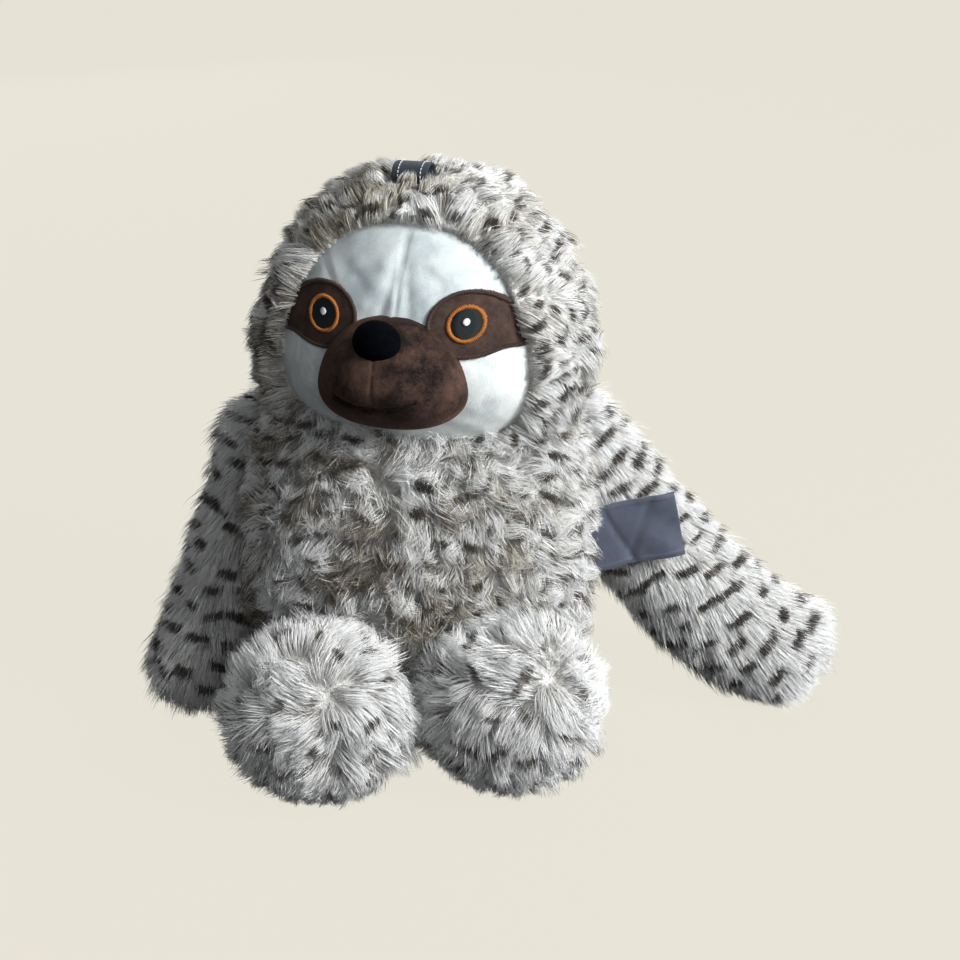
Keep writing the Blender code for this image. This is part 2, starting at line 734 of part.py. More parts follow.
def make_head():
    """Fur hood, filling and white face panel."""
    hood = head_form("head_fur_hood", 0.0, on_hood)
    cut(hood, head_form("hood_inside", BODY_SKIN), face_prism(face_outline(SEAM_GAP)),
        neck_dome(NECK_GAP), parting())

    panel_thickness = BODY_SKIN - FACE_DEPTH
    panel = keep(face_slab("face_panel", FACE_DEPTH, panel_thickness), face_prism(face_outline(0.0)))
    cut(panel, neck_dome(NECK_GAP))

    filling = cut(head_form("head_stuffing", BODY_SKIN + SEAM_GAP), neck_dome(NECK_GAP))
    return [hood, panel, filling]


def make_eye(side):
    """Patch with its embroidered ring, pupil and glint."""
    name = "left_" if side > 0.0 else "right_"
    depth = FACE_DEPTH - SEAM_GAP - PATCH_THICKNESS
    patch = keep(face_slab(name + "eye_patch", depth, PATCH_THICKNESS),
                 face_prism(patch_outline(side)), face_prism(face_outline(0.0)))
    cut(patch, muzzle_form("muzzle_clearance", -SEAM_GAP))

    depth -= SEAM_GAP + THREAD_THICKNESS
    inner = EYE_RING_RADIUS - EYE_RING_WIDTH
    ring = keep(face_slab(name + "eye_ring", depth, THREAD_THICKNESS),
                face_prism(circle(side, EYE_RING_RADIUS)))
    cut(ring, face_prism(circle(side, inner)))
    pupil = keep(face_slab(name + "pupil", depth, THREAD_THICKNESS),
                 face_prism(circle(side, inner - SEAM_GAP)))

    depth -= SEAM_GAP + THREAD_THICKNESS
    glint = keep(face_slab(name + "eye_glint", depth, THREAD_THICKNESS),
                 face_prism(circle(side, GLINT_RADIUS, GLINT_RISE)))
    return [patch, ring, pupil, glint]


def mouth_outline():
    """Smiling line of one thread's width."""
    middle = HEAD_BOTTOM + MUZZLE_HEIGHT_ON_FACE - MOUTH_DROP
    upper, lower = [], []
    for k in range(MOUTH_STEPS + 1):
        share = 2.0 * k / MOUTH_STEPS - 1.0
        height = middle - MOUTH_SAG * (1.0 - share**2)
        upper.append((HEAD_SHIFT + share * MOUTH_HALF_WIDTH, height + MOUTH_THREAD / 2.0))
        lower.append((HEAD_SHIFT + share * MOUTH_HALF_WIDTH, height - MOUTH_THREAD / 2.0))
    return upper + lower[::-1]


def make_muzzle():
    """Velvet cover, filling, nose pad and stitched mouth."""
    seat = FACE_DEPTH - SEAM_GAP
    cover = muzzle_form("muzzle_cover", 0.0)
    cut(cover, muzzle_form("muzzle_inside", MUZZLE_COVER), head_form("face_seat", seat))
    filling = cut(muzzle_form("muzzle_stuffing", MUZZLE_COVER + SEAM_GAP),
                  head_form("face_seat", seat))

    tip = -(MUZZLE_ROOT + MUZZLE_LENGTH - NOSE_HALF_DEPTH)
    nose_height = HEAD_BOTTOM + MUZZLE_HEIGHT_ON_FACE + NOSE_RISE
    nose = ball("nose_pad", (HEAD_SHIFT, tip, nose_height),
                (NOSE_HALF_WIDTH, NOSE_HALF_DEPTH, NOSE_HALF_HEIGHT), BALL_SEGMENTS // 2)
    cut(nose, muzzle_form("muzzle_clearance", -SEAM_GAP))

    mouth = cut(muzzle_form("mouth_stitching", -(SEAM_GAP + MOUTH_THREAD)),
                muzzle_form("muzzle_clearance", -SEAM_GAP))
    front = -(MUZZLE_ROOT + MUZZLE_LENGTH + OVERRUN)
    keep(mouth, prism("mouth_prism", mouth_outline(), front, front + MUZZLE_LENGTH / 2.0 + OVERRUN))
    return [cover, filling, nose, mouth]


def parting():
    """Hollow in the pile of the crown, where the loop is sewn in."""
    top = HEAD_BOTTOM + HEAD_HEIGHT
    return ball("parting", (HEAD_SHIFT + LOOP_OFF_MIDDLE, -LOOP_FORWARD, top),
                (PARTING_HALF_WIDTH, PARTING_HALF_DEPTH, PARTING_DEPTH), BALL_SEGMENTS // 2)


def make_loop():
    """Webbing folded front to back, with both ends together in the crown's seam."""
    edge_share = WEBBING_WIDTH / 2.0 / PARTING_HALF_WIDTH
    seat_depth = PARTING_DEPTH * math.sqrt(1.0 - edge_share**2) - JOINT_GAP
    foot = HEAD_BOTTOM + HEAD_HEIGHT - seat_depth
    middle_y = -LOOP_FORWARD
    left = HEAD_SHIFT + LOOP_OFF_MIDDLE - WEBBING_WIDTH / 2.0
    outer, inner = [], []
    for k in range(LOOP_STEPS + 1):
        angle = 2.0 * math.pi * k / LOOP_STEPS
        swing = math.sin(angle) * math.sin(angle / 2.0)**0.5
        height = (1.0 - math.cos(angle)) / 2.0
        inner_rise = LOOP_RISE - 2.0 * WEBBING_THICKNESS
        outer.append((middle_y - (LOOP_HALF_GAP + WEBBING_THICKNESS) * swing,
                      foot + LOOP_RISE * height))
        inner.append((middle_y - LOOP_HALF_GAP * swing,
                      foot + WEBBING_THICKNESS + inner_rise * height))
    build = bmesh.new()
    for y, z in outer[1:]:
        build.verts.new((left, y, z))
    build.verts.ensure_lookup_table()
    count = len(build.verts)
    holes = [build.verts.new((left, y, z)) for y, z in inner[1:]]
    ring = build.verts[:count]
    for k in range(count):
        following = (k + 1) % count
        build.faces.new((ring[k], ring[following], holes[following], holes[k]))
    swept = bmesh.ops.extrude_face_region(build, geom=build.faces[:])
    moved = [item for item in swept["geom"] if isinstance(item, bmesh.types.BMVert)]
    bmesh.ops.translate(build, vec=(WEBBING_WIDTH, 0.0, 0.0), verts=moved)
    return close_mesh("crown_loop", build)


def torso_side(forward, height):
    """How far the torso reaches sideways, at a place in front of its middle and a height."""
    t = (height + TORSO_SINK) / (TORSO_HEIGHT + TORSO_SINK)
    swell = (2.0 * math.sqrt(t * (1.0 - t)))**TORSO_FULLNESS_SHARE
    half_width = float(curve_value(scaled(TORSO_HALF_WIDTH, TORSO_WIDTH_SHARES), t)) * swell
    half_depth = float(curve_value(scaled(TORSO_HALF_DEPTH, TORSO_DEPTH_SHARES), t)) * swell
    middle = float(curve_value([point[1] for point in torso_spine()], t))
    off_middle = abs(-forward - middle) / half_depth
    return half_width * (1.0 - off_middle**BODY_POWER)**(1.0 / BODY_POWER)


def label_frame():
    """Middle of the label's sewn edge, the seam's direction and the outward direction."""
    half = LABEL_HEIGHT / 2.0
    low, high = (Vector((torso_side(LABEL_SEAM_FORWARD, LABEL_SEAM_HEIGHT + rise),
                         -LABEL_SEAM_FORWARD, LABEL_SEAM_HEIGHT + rise)) for rise in (-half, half))
    bulge = torso_side(LABEL_SEAM_FORWARD, LABEL_SEAM_HEIGHT) - (low.x + high.x) / 2.0
    middle = (low + high) / 2.0 + Vector((max(bulge, 0.0) + SEAM_GAP, 0.0, 0.0))
    seam = (high - low).normalized()
    outward = Vector((seam.z, 0.0, -seam.x))
    return middle, seam, outward


def label_groove():
    """Groove in the side seam that holds the label's edge."""
    middle, seam, _ = label_frame()
    return rod("label_groove", middle, seam, LABEL_BEAD_RADIUS + SEAM_GAP,
               LABEL_HEIGHT + 2.0 * LABEL_THICKNESS, LIMB_SIDES)


def make_label():
    """Folded ribbon with a slight wave, hemmed by a bead at its sewn edge."""
    middle, seam, outward = label_frame()
    front, back = [], []
    for k in range(LIMB_SIDES + 1):
        share = k / LIMB_SIDES
        wave = LABEL_WAVE * math.sin(2.0 * math.pi * share) * share
        place = middle + outward * LABEL_LENGTH * share + Vector((0.0, wave, 0.0))
        front.append(place - Vector((0.0, LABEL_THICKNESS / 2.0, 0.0)))
        back.append(place + Vector((0.0, LABEL_THICKNESS / 2.0, 0.0)))
    build = bmesh.new()
    edge = [build.verts.new(point - seam * LABEL_HEIGHT / 2.0) for point in front + back[::-1]]
    face = build.faces.new(edge)
    swept = bmesh.ops.extrude_face_region(build, geom=[face])
    moved = [item for item in swept["geom"] if isinstance(item, bmesh.types.BMVert)]
    bmesh.ops.translate(build, vec=seam * LABEL_HEIGHT, verts=moved)
    label = close_mesh("care_label", build)
    bead = rod("label_bead", middle, seam, LABEL_BEAD_RADIUS, LABEL_HEIGHT, LIMB_SIDES // 2)
    combine(label, bead, "UNION")
    drop(bead)
    return [label]


def main():
    """Build every piece and hang it on its pivot."""
    empty_scene()
    finishes = {"torso_fur_skin": FUR, "torso_stuffing": FIBRE, "head_fur_hood": FUR,
                "head_stuffing": FIBRE, "face_panel": PANEL_PILE, "muzzle_cover": MUZZLE_VELVET,
                "muzzle_stuffing": FIBRE, "nose_pad": NOSE_VELVET, "mouth_stitching": BROWN_THREAD,
                "crown_loop": WEBBING, "care_label": RIBBON}
    for side in ("left", "right"):
        finishes[side + "_eye_patch"] = PATCH_VELVET
        finishes[side + "_eye_ring"] = ORANGE_THREAD
        finishes[side + "_pupil"] = SLATE_THREAD
        finishes[side + "_eye_glint"] = WHITE_THREAD
        for part in ("arm", "leg"):
            finishes[side + "_" + part + "_skin"] = FUR
            finishes[side + "_" + part + "_stuffing"] = FIBRE

    hand_over(make_torso(), pivot("torso_origin", (0.0, 0.0, 0.0)), finishes)
    neck = (0.0, 0.0, NECK_DOME_CENTRE)
    head = make_head() + make_eye(-1.0) + make_eye(1.0) + make_muzzle() + [make_loop()]
    hand_over(head, pivot("neck_pivot", neck, HEAD_TURN), finishes)
    for side, name in ((-1.0, "right"), (1.0, "left")):
        hand_over(make_arm(side), pivot(name + "_shoulder_pivot", shoulder(side)), finishes)
        hand_over(make_leg(side), pivot(name + "_hip_pivot", hip(side)), finishes)
    hand_over(make_label(), pivot("label_pivot", label_frame()[0]), finishes)


main()
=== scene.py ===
"""Looks of a sitting plush sloth: long flecked pile, velvet muzzle, embroidered eyes and sewn trims.

Metres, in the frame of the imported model. Each stuffed form is evaluated as a dense grid from the
same sizes as its solid, and the pile grows out of that grid as tapered strands in tufts.
"""

import math

import bmesh
import bpy
import numpy as np
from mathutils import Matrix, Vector
from mathutils.bvhtree import BVHTree
from mathutils.kdtree import KDTree


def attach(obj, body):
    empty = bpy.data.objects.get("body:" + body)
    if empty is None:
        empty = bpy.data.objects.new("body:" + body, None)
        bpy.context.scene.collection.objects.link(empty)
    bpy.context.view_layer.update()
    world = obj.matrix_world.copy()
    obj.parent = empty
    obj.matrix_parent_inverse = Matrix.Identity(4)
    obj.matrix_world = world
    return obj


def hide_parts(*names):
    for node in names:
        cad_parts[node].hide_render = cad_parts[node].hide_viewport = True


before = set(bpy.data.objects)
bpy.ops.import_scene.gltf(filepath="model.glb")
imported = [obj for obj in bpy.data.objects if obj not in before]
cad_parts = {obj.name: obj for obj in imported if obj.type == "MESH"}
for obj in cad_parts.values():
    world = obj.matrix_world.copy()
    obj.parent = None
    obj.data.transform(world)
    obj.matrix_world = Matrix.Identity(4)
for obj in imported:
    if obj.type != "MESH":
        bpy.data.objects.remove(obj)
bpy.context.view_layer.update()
rng = np.random.default_rng(11)

# Sizes that the solids have too
TORSO_HEIGHT, TORSO_SINK, TORSO_LEAN, TORSO_FULLNESS = 0.235, 0.0035, 0.012, 0.44
TORSO_WIDTHS = 0.098 * np.array((0.95, 1.10, 1.06, 0.96))
TORSO_DEPTHS = 0.084 * np.array((0.96, 1.10, 0.98, 0.76))
HEAD_BOTTOM, HEAD_HEIGHT, HEAD_FORWARD, HEAD_SHIFT, HEAD_LEAN = 0.176, 0.162, 0.010, 0.008, 0.007
HEAD_WIDTHS = 0.094 * np.array((1.06, 1.10, 0.90, 0.73))
HEAD_DEPTHS = 0.083 * np.array((1.00, 1.08, 0.98, 0.86))
HEAD_TURN, HEAD_FULLNESS, MUZZLE_FULLNESS = math.radians(-17.0), 0.62, 0.66
FACE_DEPTH, FACE_HALF_WIDTH, FACE_BOTTOM, FACE_HEIGHT = 0.008, 0.074, 0.012, 0.134
FACE_SHARES = ((0.00, 1.00), (0.42, 0.95), (0.74, 0.80), (0.94, 0.56), (1.00, 0.34), (0.90, 0.15),
               (0.62, 0.04), (0.30, 0.00))
PATCH_MIDDLE, PATCH_INNER, PATCH_LENGTH, PATCH_HALF_HEIGHT = 0.270, 0.020, 0.052, 0.0175
PATCH_SHARES = ((0.00, 0.05), (0.08, 0.60), (0.28, 0.96), (0.55, 0.92), (0.80, 0.52), (1.00, 0.10),
                (1.00, -0.72), (0.78, -0.76), (0.50, -0.98), (0.24, -0.94), (0.06, -0.52))
EYE_SPREAD, EYE_MIDDLE, EYE_RADIUS, EYE_RING = 0.0402, 0.2705, 0.0100, 0.0021
MUZZLE_MIDDLE, MUZZLE_LENGTH, MUZZLE_ROOT, MUZZLE_LIFT = 0.238, 0.088, 0.028, 0.014
MUZZLE_WIDTHS = 0.0405 * np.array((0.90, 1.02, 1.12, 0.76))
MUZZLE_HEIGHTS = 0.033 * np.array((1.00, 1.06, 1.00, 0.76))
MOUTH_HALF_WIDTH, MOUTH_DROP, MOUTH_SAG = 0.024, 0.002, 0.005
NOSE_SIZES, NOSE_RISE = (0.0135, 0.0095, 0.0120), 0.029
LOOP_MIDDLE = np.array((0.0, -0.012))
LOOP_WIDTH, LOOP_THICKNESS, LOOP_RISE, LOOP_HALF_GAP = 0.021, 0.0014, 0.016, 0.0095
SEAT_DEPTH, SEAT_HALF_WIDTH, SEAT_LIFT = 0.0115, 0.021, 0.0012
SHOULDER, SHOULDER_RADIUS = np.array((0.087, 0.030, 0.160)), 0.033
ARM_SWELL = np.array((0.94, 1.00, 1.06, 1.02))
HIP, HIP_RADIUS, FOOT_HEIGHT = np.array((0.050, -0.046, 0.0432)), 0.042, 0.0505
LEG_SIZES = 0.051 / 1.19 * np.array((1.00, 0.98, 1.06, 1.19))
ARM_TIP, LEG_TIP = (0.026, 0.72), (0.046, 0.80)
LABEL_LENGTH, LABEL_HEIGHT, LABEL_SEAM, LABEL_TILT = 0.054, 0.041, 0.116, math.radians(11.0)
LABEL_FORWARD = 0.018

# Grids
GRID_ROWS, GRID_SIDES = 120, 144
ROOT_ROWS, TUBE_ROWS, TIP_ROWS = 16, 70, 30
BODY_POWER = 2.3
AHEAD = np.array((0.0, -1.0, 0.0))

# Backing cloth: how far inside the solids' outer faces it lies, and how far above the floor
BACKING_INSET, FLOOR_GAP = 0.005, 0.0006
FACE_FRONT, RIM_DEPTH = -0.02, 0.009

# Strands: rings of vertices, and the tip at the last place
RING_PLACES = (0.0, 0.46, 0.76)
RING_WIDTHS = (0.8, 1.0, 0.7)
PLACES = (*RING_PLACES, 1.0)
ROOT_DEPTH = 0.006
USUAL_LAY = {"length": 0.018, "tuft": 0.008, "sag": 0.06, "curl": 0.07}
STRANDS_TO_A_PIECE = 12000

# The pile's map and colours
TONES, BAND_MARGIN, MAP_WIDTH, TIP_PLACE = 8, 0.06, 0.002, 0.995
TONE_COLOURS = ((0.92, 0.93, 0.94), (0.85, 0.85, 0.83), (0.58, 0.55, 0.48), (0.29, 0.25, 0.185))
DYE_COLOURS = ((0.030, 0.022, 0.016), (0.105, 0.078, 0.052))
# Painted shade: each strand is darker towards its root, where the pile crowds
ROOT_PAINTED_SHADE = ((0.0, (0.70, 0.69, 0.66)), (0.45, (0.95, 0.95, 0.94)), (1.0, (1.0, 1.0, 1.0)))
BAND_EDGES = {"From Min": 0.13, "From Max": 0.20, "To Min": 1.0, "To Max": 0.0}
TONE_STEPS = (0.14, 0.30, 0.46)
FLECK_TRIES = 6000
CHEST_OUTWARD = np.array((0.0, -0.94, 0.34))
CHEST_SPOTS = ((np.array((0.0017, -0.096, 0.1795)), 0.0052), (np.array((-0.0010, -0.096, 0.1634)), 0.0048))

# Creases of the face panel: start and end from the brow seam, width and height
BROW_SEAM = HEAD_SHIFT + 0.002
CREASES = (((-0.004, 0.312), (-0.020, 0.276), 0.0042, 0.0009),
           ((0.004, 0.316), (0.017, 0.280), 0.0044, 0.0008),
           ((-0.002, 0.302), (-0.009, 0.270), 0.0028, -0.0012),
           ((0.003, 0.300), (0.008, 0.272), 0.0028, -0.0010),
           ((0.010, 0.300), (0.026, 0.290), 0.0030, -0.0010),
           ((-0.010, 0.296), (-0.028, 0.291), 0.0028, -0.0009),
           ((-0.054, 0.306), (-0.038, 0.284), 0.0018, -0.0012))

# Threads and trims
THREAD_RADIUS, FINE_THREAD_RADIUS, LOOP_THREAD_RADIUS = 0.00040, 0.00030, 0.00028
THREAD_RINGS, THREAD_SIDES = 5, 5
PATCH_LIFT = 0.0013
LOOP_STEPS = 48
LOOP_PROFILE = ((-0.5, 0.30), (-0.47, 0.48), (-0.3, 0.5), (0.0, 0.5), (0.3, 0.5), (0.47, 0.48), (0.5, 0.30))
STITCH_PITCH, STITCH_LENGTH, STITCH_ROW = 0.0021, 0.0013, 0.0066

# Stage
PALE = (0.799, 0.768, 0.679, 1.0)
FLOOR_HALF = 6.0
VIEW_TARGET = Vector((0.0, 0.0, 0.17))


def mirrored(point, side):
    """Point on the given side of the body."""
    return np.asarray(point) * (side, 1.0, 1.0)


def bezier(values, t):
    """Values at each t of the Bezier curve with these control values."""
    values = np.asarray(values, float)
    degree = len(values) - 1
    t = np.asarray(t, float)
    weights = [math.comb(degree, k) * t**k * (1.0 - t)**(degree - k) for k in range(degree + 1)]
    return sum(np.multiply.outer(weight, value) for weight, value in zip(weights, values))


def unit(vectors):
    """Vectors scaled to length one."""
    return vectors / np.maximum(np.linalg.norm(vectors, axis=-1, keepdims=True), 1e-12)


def smooth_step(low, high, value):
    """0 below low and 1 above high, smooth between."""
    t = np.clip((value - low) / (high - low), 0.0, 1.0)
    return t * t * (3.0 - 2.0 * t)


def rings(centres, tangents, side_axis, half_sides, half_others, power):
    """Grid of points: one superelliptic ring round each centre."""
    tangents = unit(tangents)
    side_axis = np.asarray(side_axis, float)
    side = unit(side_axis - tangents * (tangents @ side_axis)[:, None])
    other = np.cross(tangents, side)
    angle = 2.0 * math.pi * np.arange(GRID_SIDES) / GRID_SIDES
    across, along = (np.sign(wave) * np.abs(wave)**(2.0 / power) for wave in (np.cos(angle), np.sin(angle)))
    return (centres[:, None] + side[:, None] * (half_sides[:, None] * across)[..., None]
            + other[:, None] * (half_others[:, None] * along)[..., None])


def barrel(spine, side_axis, side_sizes, other_sizes, fullness, inset=0.0):
    """Grid of a stuffed form along a spine, rounded at both ends."""
    angle = math.pi * (np.arange(GRID_ROWS) + 0.5) / GRID_ROWS
    t = 0.5 - 0.5 * np.cos(angle)
    swell = np.sin(angle)**fullness
    length = np.linalg.norm(np.subtract(spine[-1], spine[0]))
    place = inset / length + t * (1.0 - 2.0 * inset / length)
    tangents = bezier(np.diff(np.asarray(spine, float), axis=0), place)
    return rings(bezier(spine, place), tangents, side_axis, (bezier(side_sizes, t) - inset) * swell,
                 (bezier(other_sizes, t) - inset) * swell, BODY_POWER)


def quarter(rows):
    """Angles at the middles of the rows of a quarter turn."""
    return 0.5 * math.pi * (np.arange(rows) + 0.5) / rows


def limb(path, side_axis, side_sizes, other_sizes, tip_length, fullness, inset=0.0):
    """Grid of a limb from its ball at the root to its rounded end."""
    path = np.asarray(path, float)
    steps = np.diff(path, axis=0)
    start, end = unit(steps[:1]), unit(steps[-1:])
    angle = quarter(ROOT_ROWS)
    radius = side_sizes[0] - inset
    root = rings(path[0] - start * radius * np.cos(angle)[:, None], np.repeat(start, ROOT_ROWS, 0), side_axis,
                 radius * np.sin(angle), radius * np.sin(angle), 2.0)
    t = np.linspace(0.0, 1.0, TUBE_ROWS)
    tube = rings(bezier(path, t), bezier(steps, t), side_axis, bezier(side_sizes, t) - inset,
                 bezier(other_sizes, t) - inset, 2.0)
    angle = quarter(TIP_ROWS)
    swell = np.cos(angle)**fullness
    tip = rings(path[-1] + end * (tip_length - inset) * np.sin(angle)[:, None], np.repeat(end, TIP_ROWS, 0),
                side_axis, (side_sizes[-1] - inset) * swell, (other_sizes[-1] - inset) * swell, 2.0)
    return np.concatenate((root, tube, tip))


def surface(points):
    """Points of a grid with their outward normals."""
    down = np.gradient(points, axis=0)
    around = (np.roll(points, -1, 1) - np.roll(points, 1, 1)) / 2.0
    normals = unit(np.cross(around, down))
    if np.mean(np.sum(normals * (points - points.mean((0, 1))), -1)) < 0.0:
        normals = -normals
    return points, normals


def split(points):
    """The x, y and z of points."""
    return np.moveaxis(points, -1, 0)


def spun(points, angle):
    """Points turned about the vertical."""
    cosine, sine = math.cos(angle), math.sin(angle)
    x, y, z = split(points)
    return np.stack((x * cosine - y * sine, x * sine + y * cosine, z), -1)


def turned(points):
    """Points of the head, turned with it."""
    return spun(points, HEAD_TURN)


def unturned(points):
    """Points in the head's own frame, before its turn."""
    return spun(points, -HEAD_TURN)


def torso_grid(inset):
    """Grid of the body."""
    spine = ((0, -TORSO_LEAN / 2, -TORSO_SINK), (0, -TORSO_LEAN, TORSO_HEIGHT / 2),
             (0, TORSO_LEAN / 2, TORSO_HEIGHT))
    return barrel(spine, (1, 0, 0), TORSO_WIDTHS, TORSO_DEPTHS, TORSO_FULLNESS, inset)


def head_grid(inset):
    """Grid of the head in its own frame."""
    spine = ((HEAD_SHIFT, -HEAD_FORWARD, HEAD_BOTTOM),
             (HEAD_SHIFT - HEAD_LEAN, -HEAD_FORWARD / 2, HEAD_BOTTOM + HEAD_HEIGHT))
    return barrel(spine, (1, 0, 0), HEAD_WIDTHS, HEAD_DEPTHS, HEAD_FULLNESS, inset)


def arm_grid(side, inset):
    """Grid of one arm: the left one is spread, and the right one hangs."""
    if side > 0:
        end, width, depth, reach, drop = (0.223, 0.010, 0.0326), 0.0330, 0.0310, (0.30, 0.55), (0.26, 0.80)
    else:
        end, width, depth, reach, drop = (-0.136, 0.002, 0.0275), 0.0275, 0.0350, (0.40, 0.64), (0.34, 0.70)
    start, end = mirrored(SHOULDER, side), np.array(end)
    elbows = [start + (end - start) * (r, r, d) for r, d in zip(reach, drop)]
    depths, widths = (np.concatenate(([SHOULDER_RADIUS], size * ARM_SWELL)) for size in (depth, width))
    return limb([start, *elbows, end], (0, 1, 0), depths, widths, *ARM_TIP, inset)


def leg_grid(side, inset):
    """Grid of one leg."""
    length, splay = (0.054, math.radians(2.0)) if side > 0 else (0.068, math.radians(6.0))
    start = mirrored(HIP, side)
    forward = np.array((side * math.sin(splay), -math.cos(splay), 0.0))
    knee, end = start + forward * length / 2, start + forward * length
    knee[2] = end[2] = FOOT_HEIGHT
    sizes = np.concatenate(([HIP_RADIUS], LEG_SIZES))
    return limb([start, knee, end], (1, 0, 0), sizes, sizes, *LEG_TIP, inset)


def catmull(points, steps):
    """Closed smooth outline through points."""
    points = np.asarray(points, float)
    t = (np.arange(steps) / steps)[:, None]
    spans = []
    for k in range(len(points)):
        a, b, c, d = (points[(k + step) % len(points)] for step in (-1, 0, 1, 2))
        spans.append(0.5 * (2 * b + (c - a) * t + (2 * a - 5 * b + 4 * c - d) * t**2
                            + (3 * b - a - 3 * c + d) * t**3))
    return np.concatenate(spans)


def face_outline(growth, steps=10):
    """Outline of the face panel in the head's x and z."""
    right = [(x * (FACE_HALF_WIDTH + growth), FACE_BOTTOM - growth + z * (FACE_HEIGHT + 2 * growth))
             for x, z in FACE_SHARES]
    left = [(-x, z) for x, z in reversed(right) if x > 0]
    return catmull([(HEAD_SHIFT + x, HEAD_BOTTOM + z) for x, z in right + left], steps)


def patch_outline(side):
    """Outline of one eye patch in the head's x and z."""
    points = [(HEAD_SHIFT + side * (PATCH_INNER + x * PATCH_LENGTH), PATCH_MIDDLE + z * PATCH_HALF_HEIGHT)
              for x, z in PATCH_SHARES]
    return catmull(points, 10)


def inside(outline, x, z):
    """Which of the points lie inside a closed outline."""
    result = np.zeros(np.shape(x), bool)
    for (x0, z0), (x1, z1) in zip(outline, np.roll(outline, -1, 0)):
        crosses = (z0 > z) != (z1 > z)
        result ^= crosses & (x < (x1 - x0) * (z - z0) / (z1 - z0 + 1e-12) + x0)
    return result


# Materials

def material(name, roughness, sheen=0.0, sheen_roughness=0.4, specular=0.3):
    """Principled material, with its node tree and its shader."""
    made = bpy.data.materials.new(name)
    made.use_nodes = True
    shader = made.node_tree.nodes["Principled BSDF"]
    values = {"Roughness": roughness, "Sheen Weight": sheen, "Sheen Roughness": sheen_roughness,
              "Specular IOR Level": specular}
    for key, value in values.items():
        shader.inputs[key].default_value = value
    return made, made.node_tree, shader


def node(tree, kind, **settings):
    """Node of a kind, with its inputs or properties set."""
    made = tree.nodes.new(kind)
    for key, value in settings.items():
        if key in made.inputs:
            made.inputs[key].default_value = value
        else:
            setattr(made, key, value)
    return made


def linked(tree, kind, source, **settings):
    """Node of a kind with its settings, fed from a source socket."""
    made = node(tree, kind, **settings)
    tree.links.new(source, made.inputs[0])
    return made


def ramp(tree, source, stops):
    """Colour ramp over a source socket."""
    made = linked(tree, "ShaderNodeValToRGB", source)
    elements = made.color_ramp.elements
    while len(elements) < len(stops):
        elements.new(0.5)
    for element, (place, colour) in zip(elements, stops):
        element.position = place
        element.color = (*colour, 1.0)
    return made.outputs["Color"]


def feed(tree, sockets, values):
    """Links or sets each of the sockets."""
    for socket, value in zip(sockets, values):
        if isinstance(value, bpy.types.NodeSocket):
            tree.links.new(value, socket)
        else:
            socket.default_value = (*value, 1.0) if isinstance(value, tuple) else value


def mix(tree, factor, first, second, blend="MIX"):
    """Mix of two colours. Each may be a socket or a value."""
    made = tree.nodes.new("ShaderNodeMix")
    made.data_type, made.blend_type = "RGBA", blend
    feed(tree, (made.inputs[0], made.inputs[6], made.inputs[7]), (factor, first, second))
    return made.outputs[2]


def noise(tree, scale, detail=3.0, roughness=0.6, stretch=None):
    """Noise over the object's own coordinates, in cycles a metre."""
    place = tree.nodes.new("ShaderNodeTexCoord").outputs["Object"]
    if stretch:
        place = linked(tree, "ShaderNodeMapping", place, Scale=stretch).outputs["Vector"]
    made = linked(tree, "ShaderNodeTexNoise", place, Scale=scale, Detail=detail, Roughness=roughness)
    return made.outputs["Fac"]


def bump(tree, shader, height, distance, strength=1.0):
    """Bump from a height socket."""
    made = node(tree, "ShaderNodeBump", Strength=strength, Distance=distance)
    tree.links.new(height, made.inputs["Height"])
    tree.links.new(made.outputs["Normal"], shader.inputs["Normal"])


def calculate(tree, operation, *values):
    """Math node on sockets or numbers."""
    made = tree.nodes.new("ShaderNodeMath")
    made.operation = operation
    feed(tree, made.inputs, values)
    return made.outputs[0]


def paint(tree, shader, colour):
    """Gives a shader its colour."""
    tree.links.new(colour, shader.inputs["Base Color"])


def axes_of(tree, place):
    """The x, y and z of a place socket."""
    return linked(tree, "ShaderNodeSeparateXYZ", place).outputs


def pile_material():
    """Long pile: the map's u holds a strand's tone and where it is dyed dark, and v runs from root to tip."""
    made, tree, shader = material("pile", 0.60, sheen=0.30, sheen_roughness=0.5, specular=0.25)
    across, along, _ = axes_of(tree, node(tree, "ShaderNodeUVMap", uv_map="OFBake").outputs["UV"])
    scaled = calculate(tree, "MULTIPLY", across, TONES)
    level = calculate(tree, "MULTIPLY_ADD", calculate(tree, "FLOOR", scaled), 1.0 / TONES, 0.5 / TONES)
    share = calculate(tree, "SUBTRACT", calculate(tree, "FRACT", scaled), BAND_MARGIN)
    dyed = calculate(tree, "DIVIDE", share, 1.0 - 2.0 * BAND_MARGIN)
    plain, dye = (ramp(tree, level, [((k + 0.5) / TONES, colour) for k, colour in enumerate(colours)])
                  for colours in (TONE_COLOURS * 2, [colour for colour in DYE_COLOURS for _ in TONE_COLOURS]))
    off = calculate(tree, "ABSOLUTE", calculate(tree, "SUBTRACT", along, dyed))
    band = linked(tree, "ShaderNodeMapRange", off, interpolation_type="SMOOTHSTEP", **BAND_EDGES)
    amount = calculate(tree, "MULTIPLY", band.outputs["Result"], calculate(tree, "GREATER_THAN", dyed, 0.10))
    colour = mix(tree, amount, plain, dye)
    # The strand colour is multiplied by painted shade that darkens it towards the root
    paint(tree, shader, mix(tree, 1.0, colour, ramp(tree, along, ROOT_PAINTED_SHADE), "MULTIPLY"))
    return made


def backing_material():
    """Cloth that the pile grows from, mottled like the pile."""
    made, tree, shader = material("backing", 0.95, sheen=0.2)
    mottled = noise(tree, 90.0, 4.0)
    paint(tree, shader, ramp(tree, mottled, ((0.35, (0.30, 0.29, 0.27)), (0.62, (0.66, 0.66, 0.65)))))
    bump(tree, shader, noise(tree, 700.0, 2.0), 0.0015)
    return made


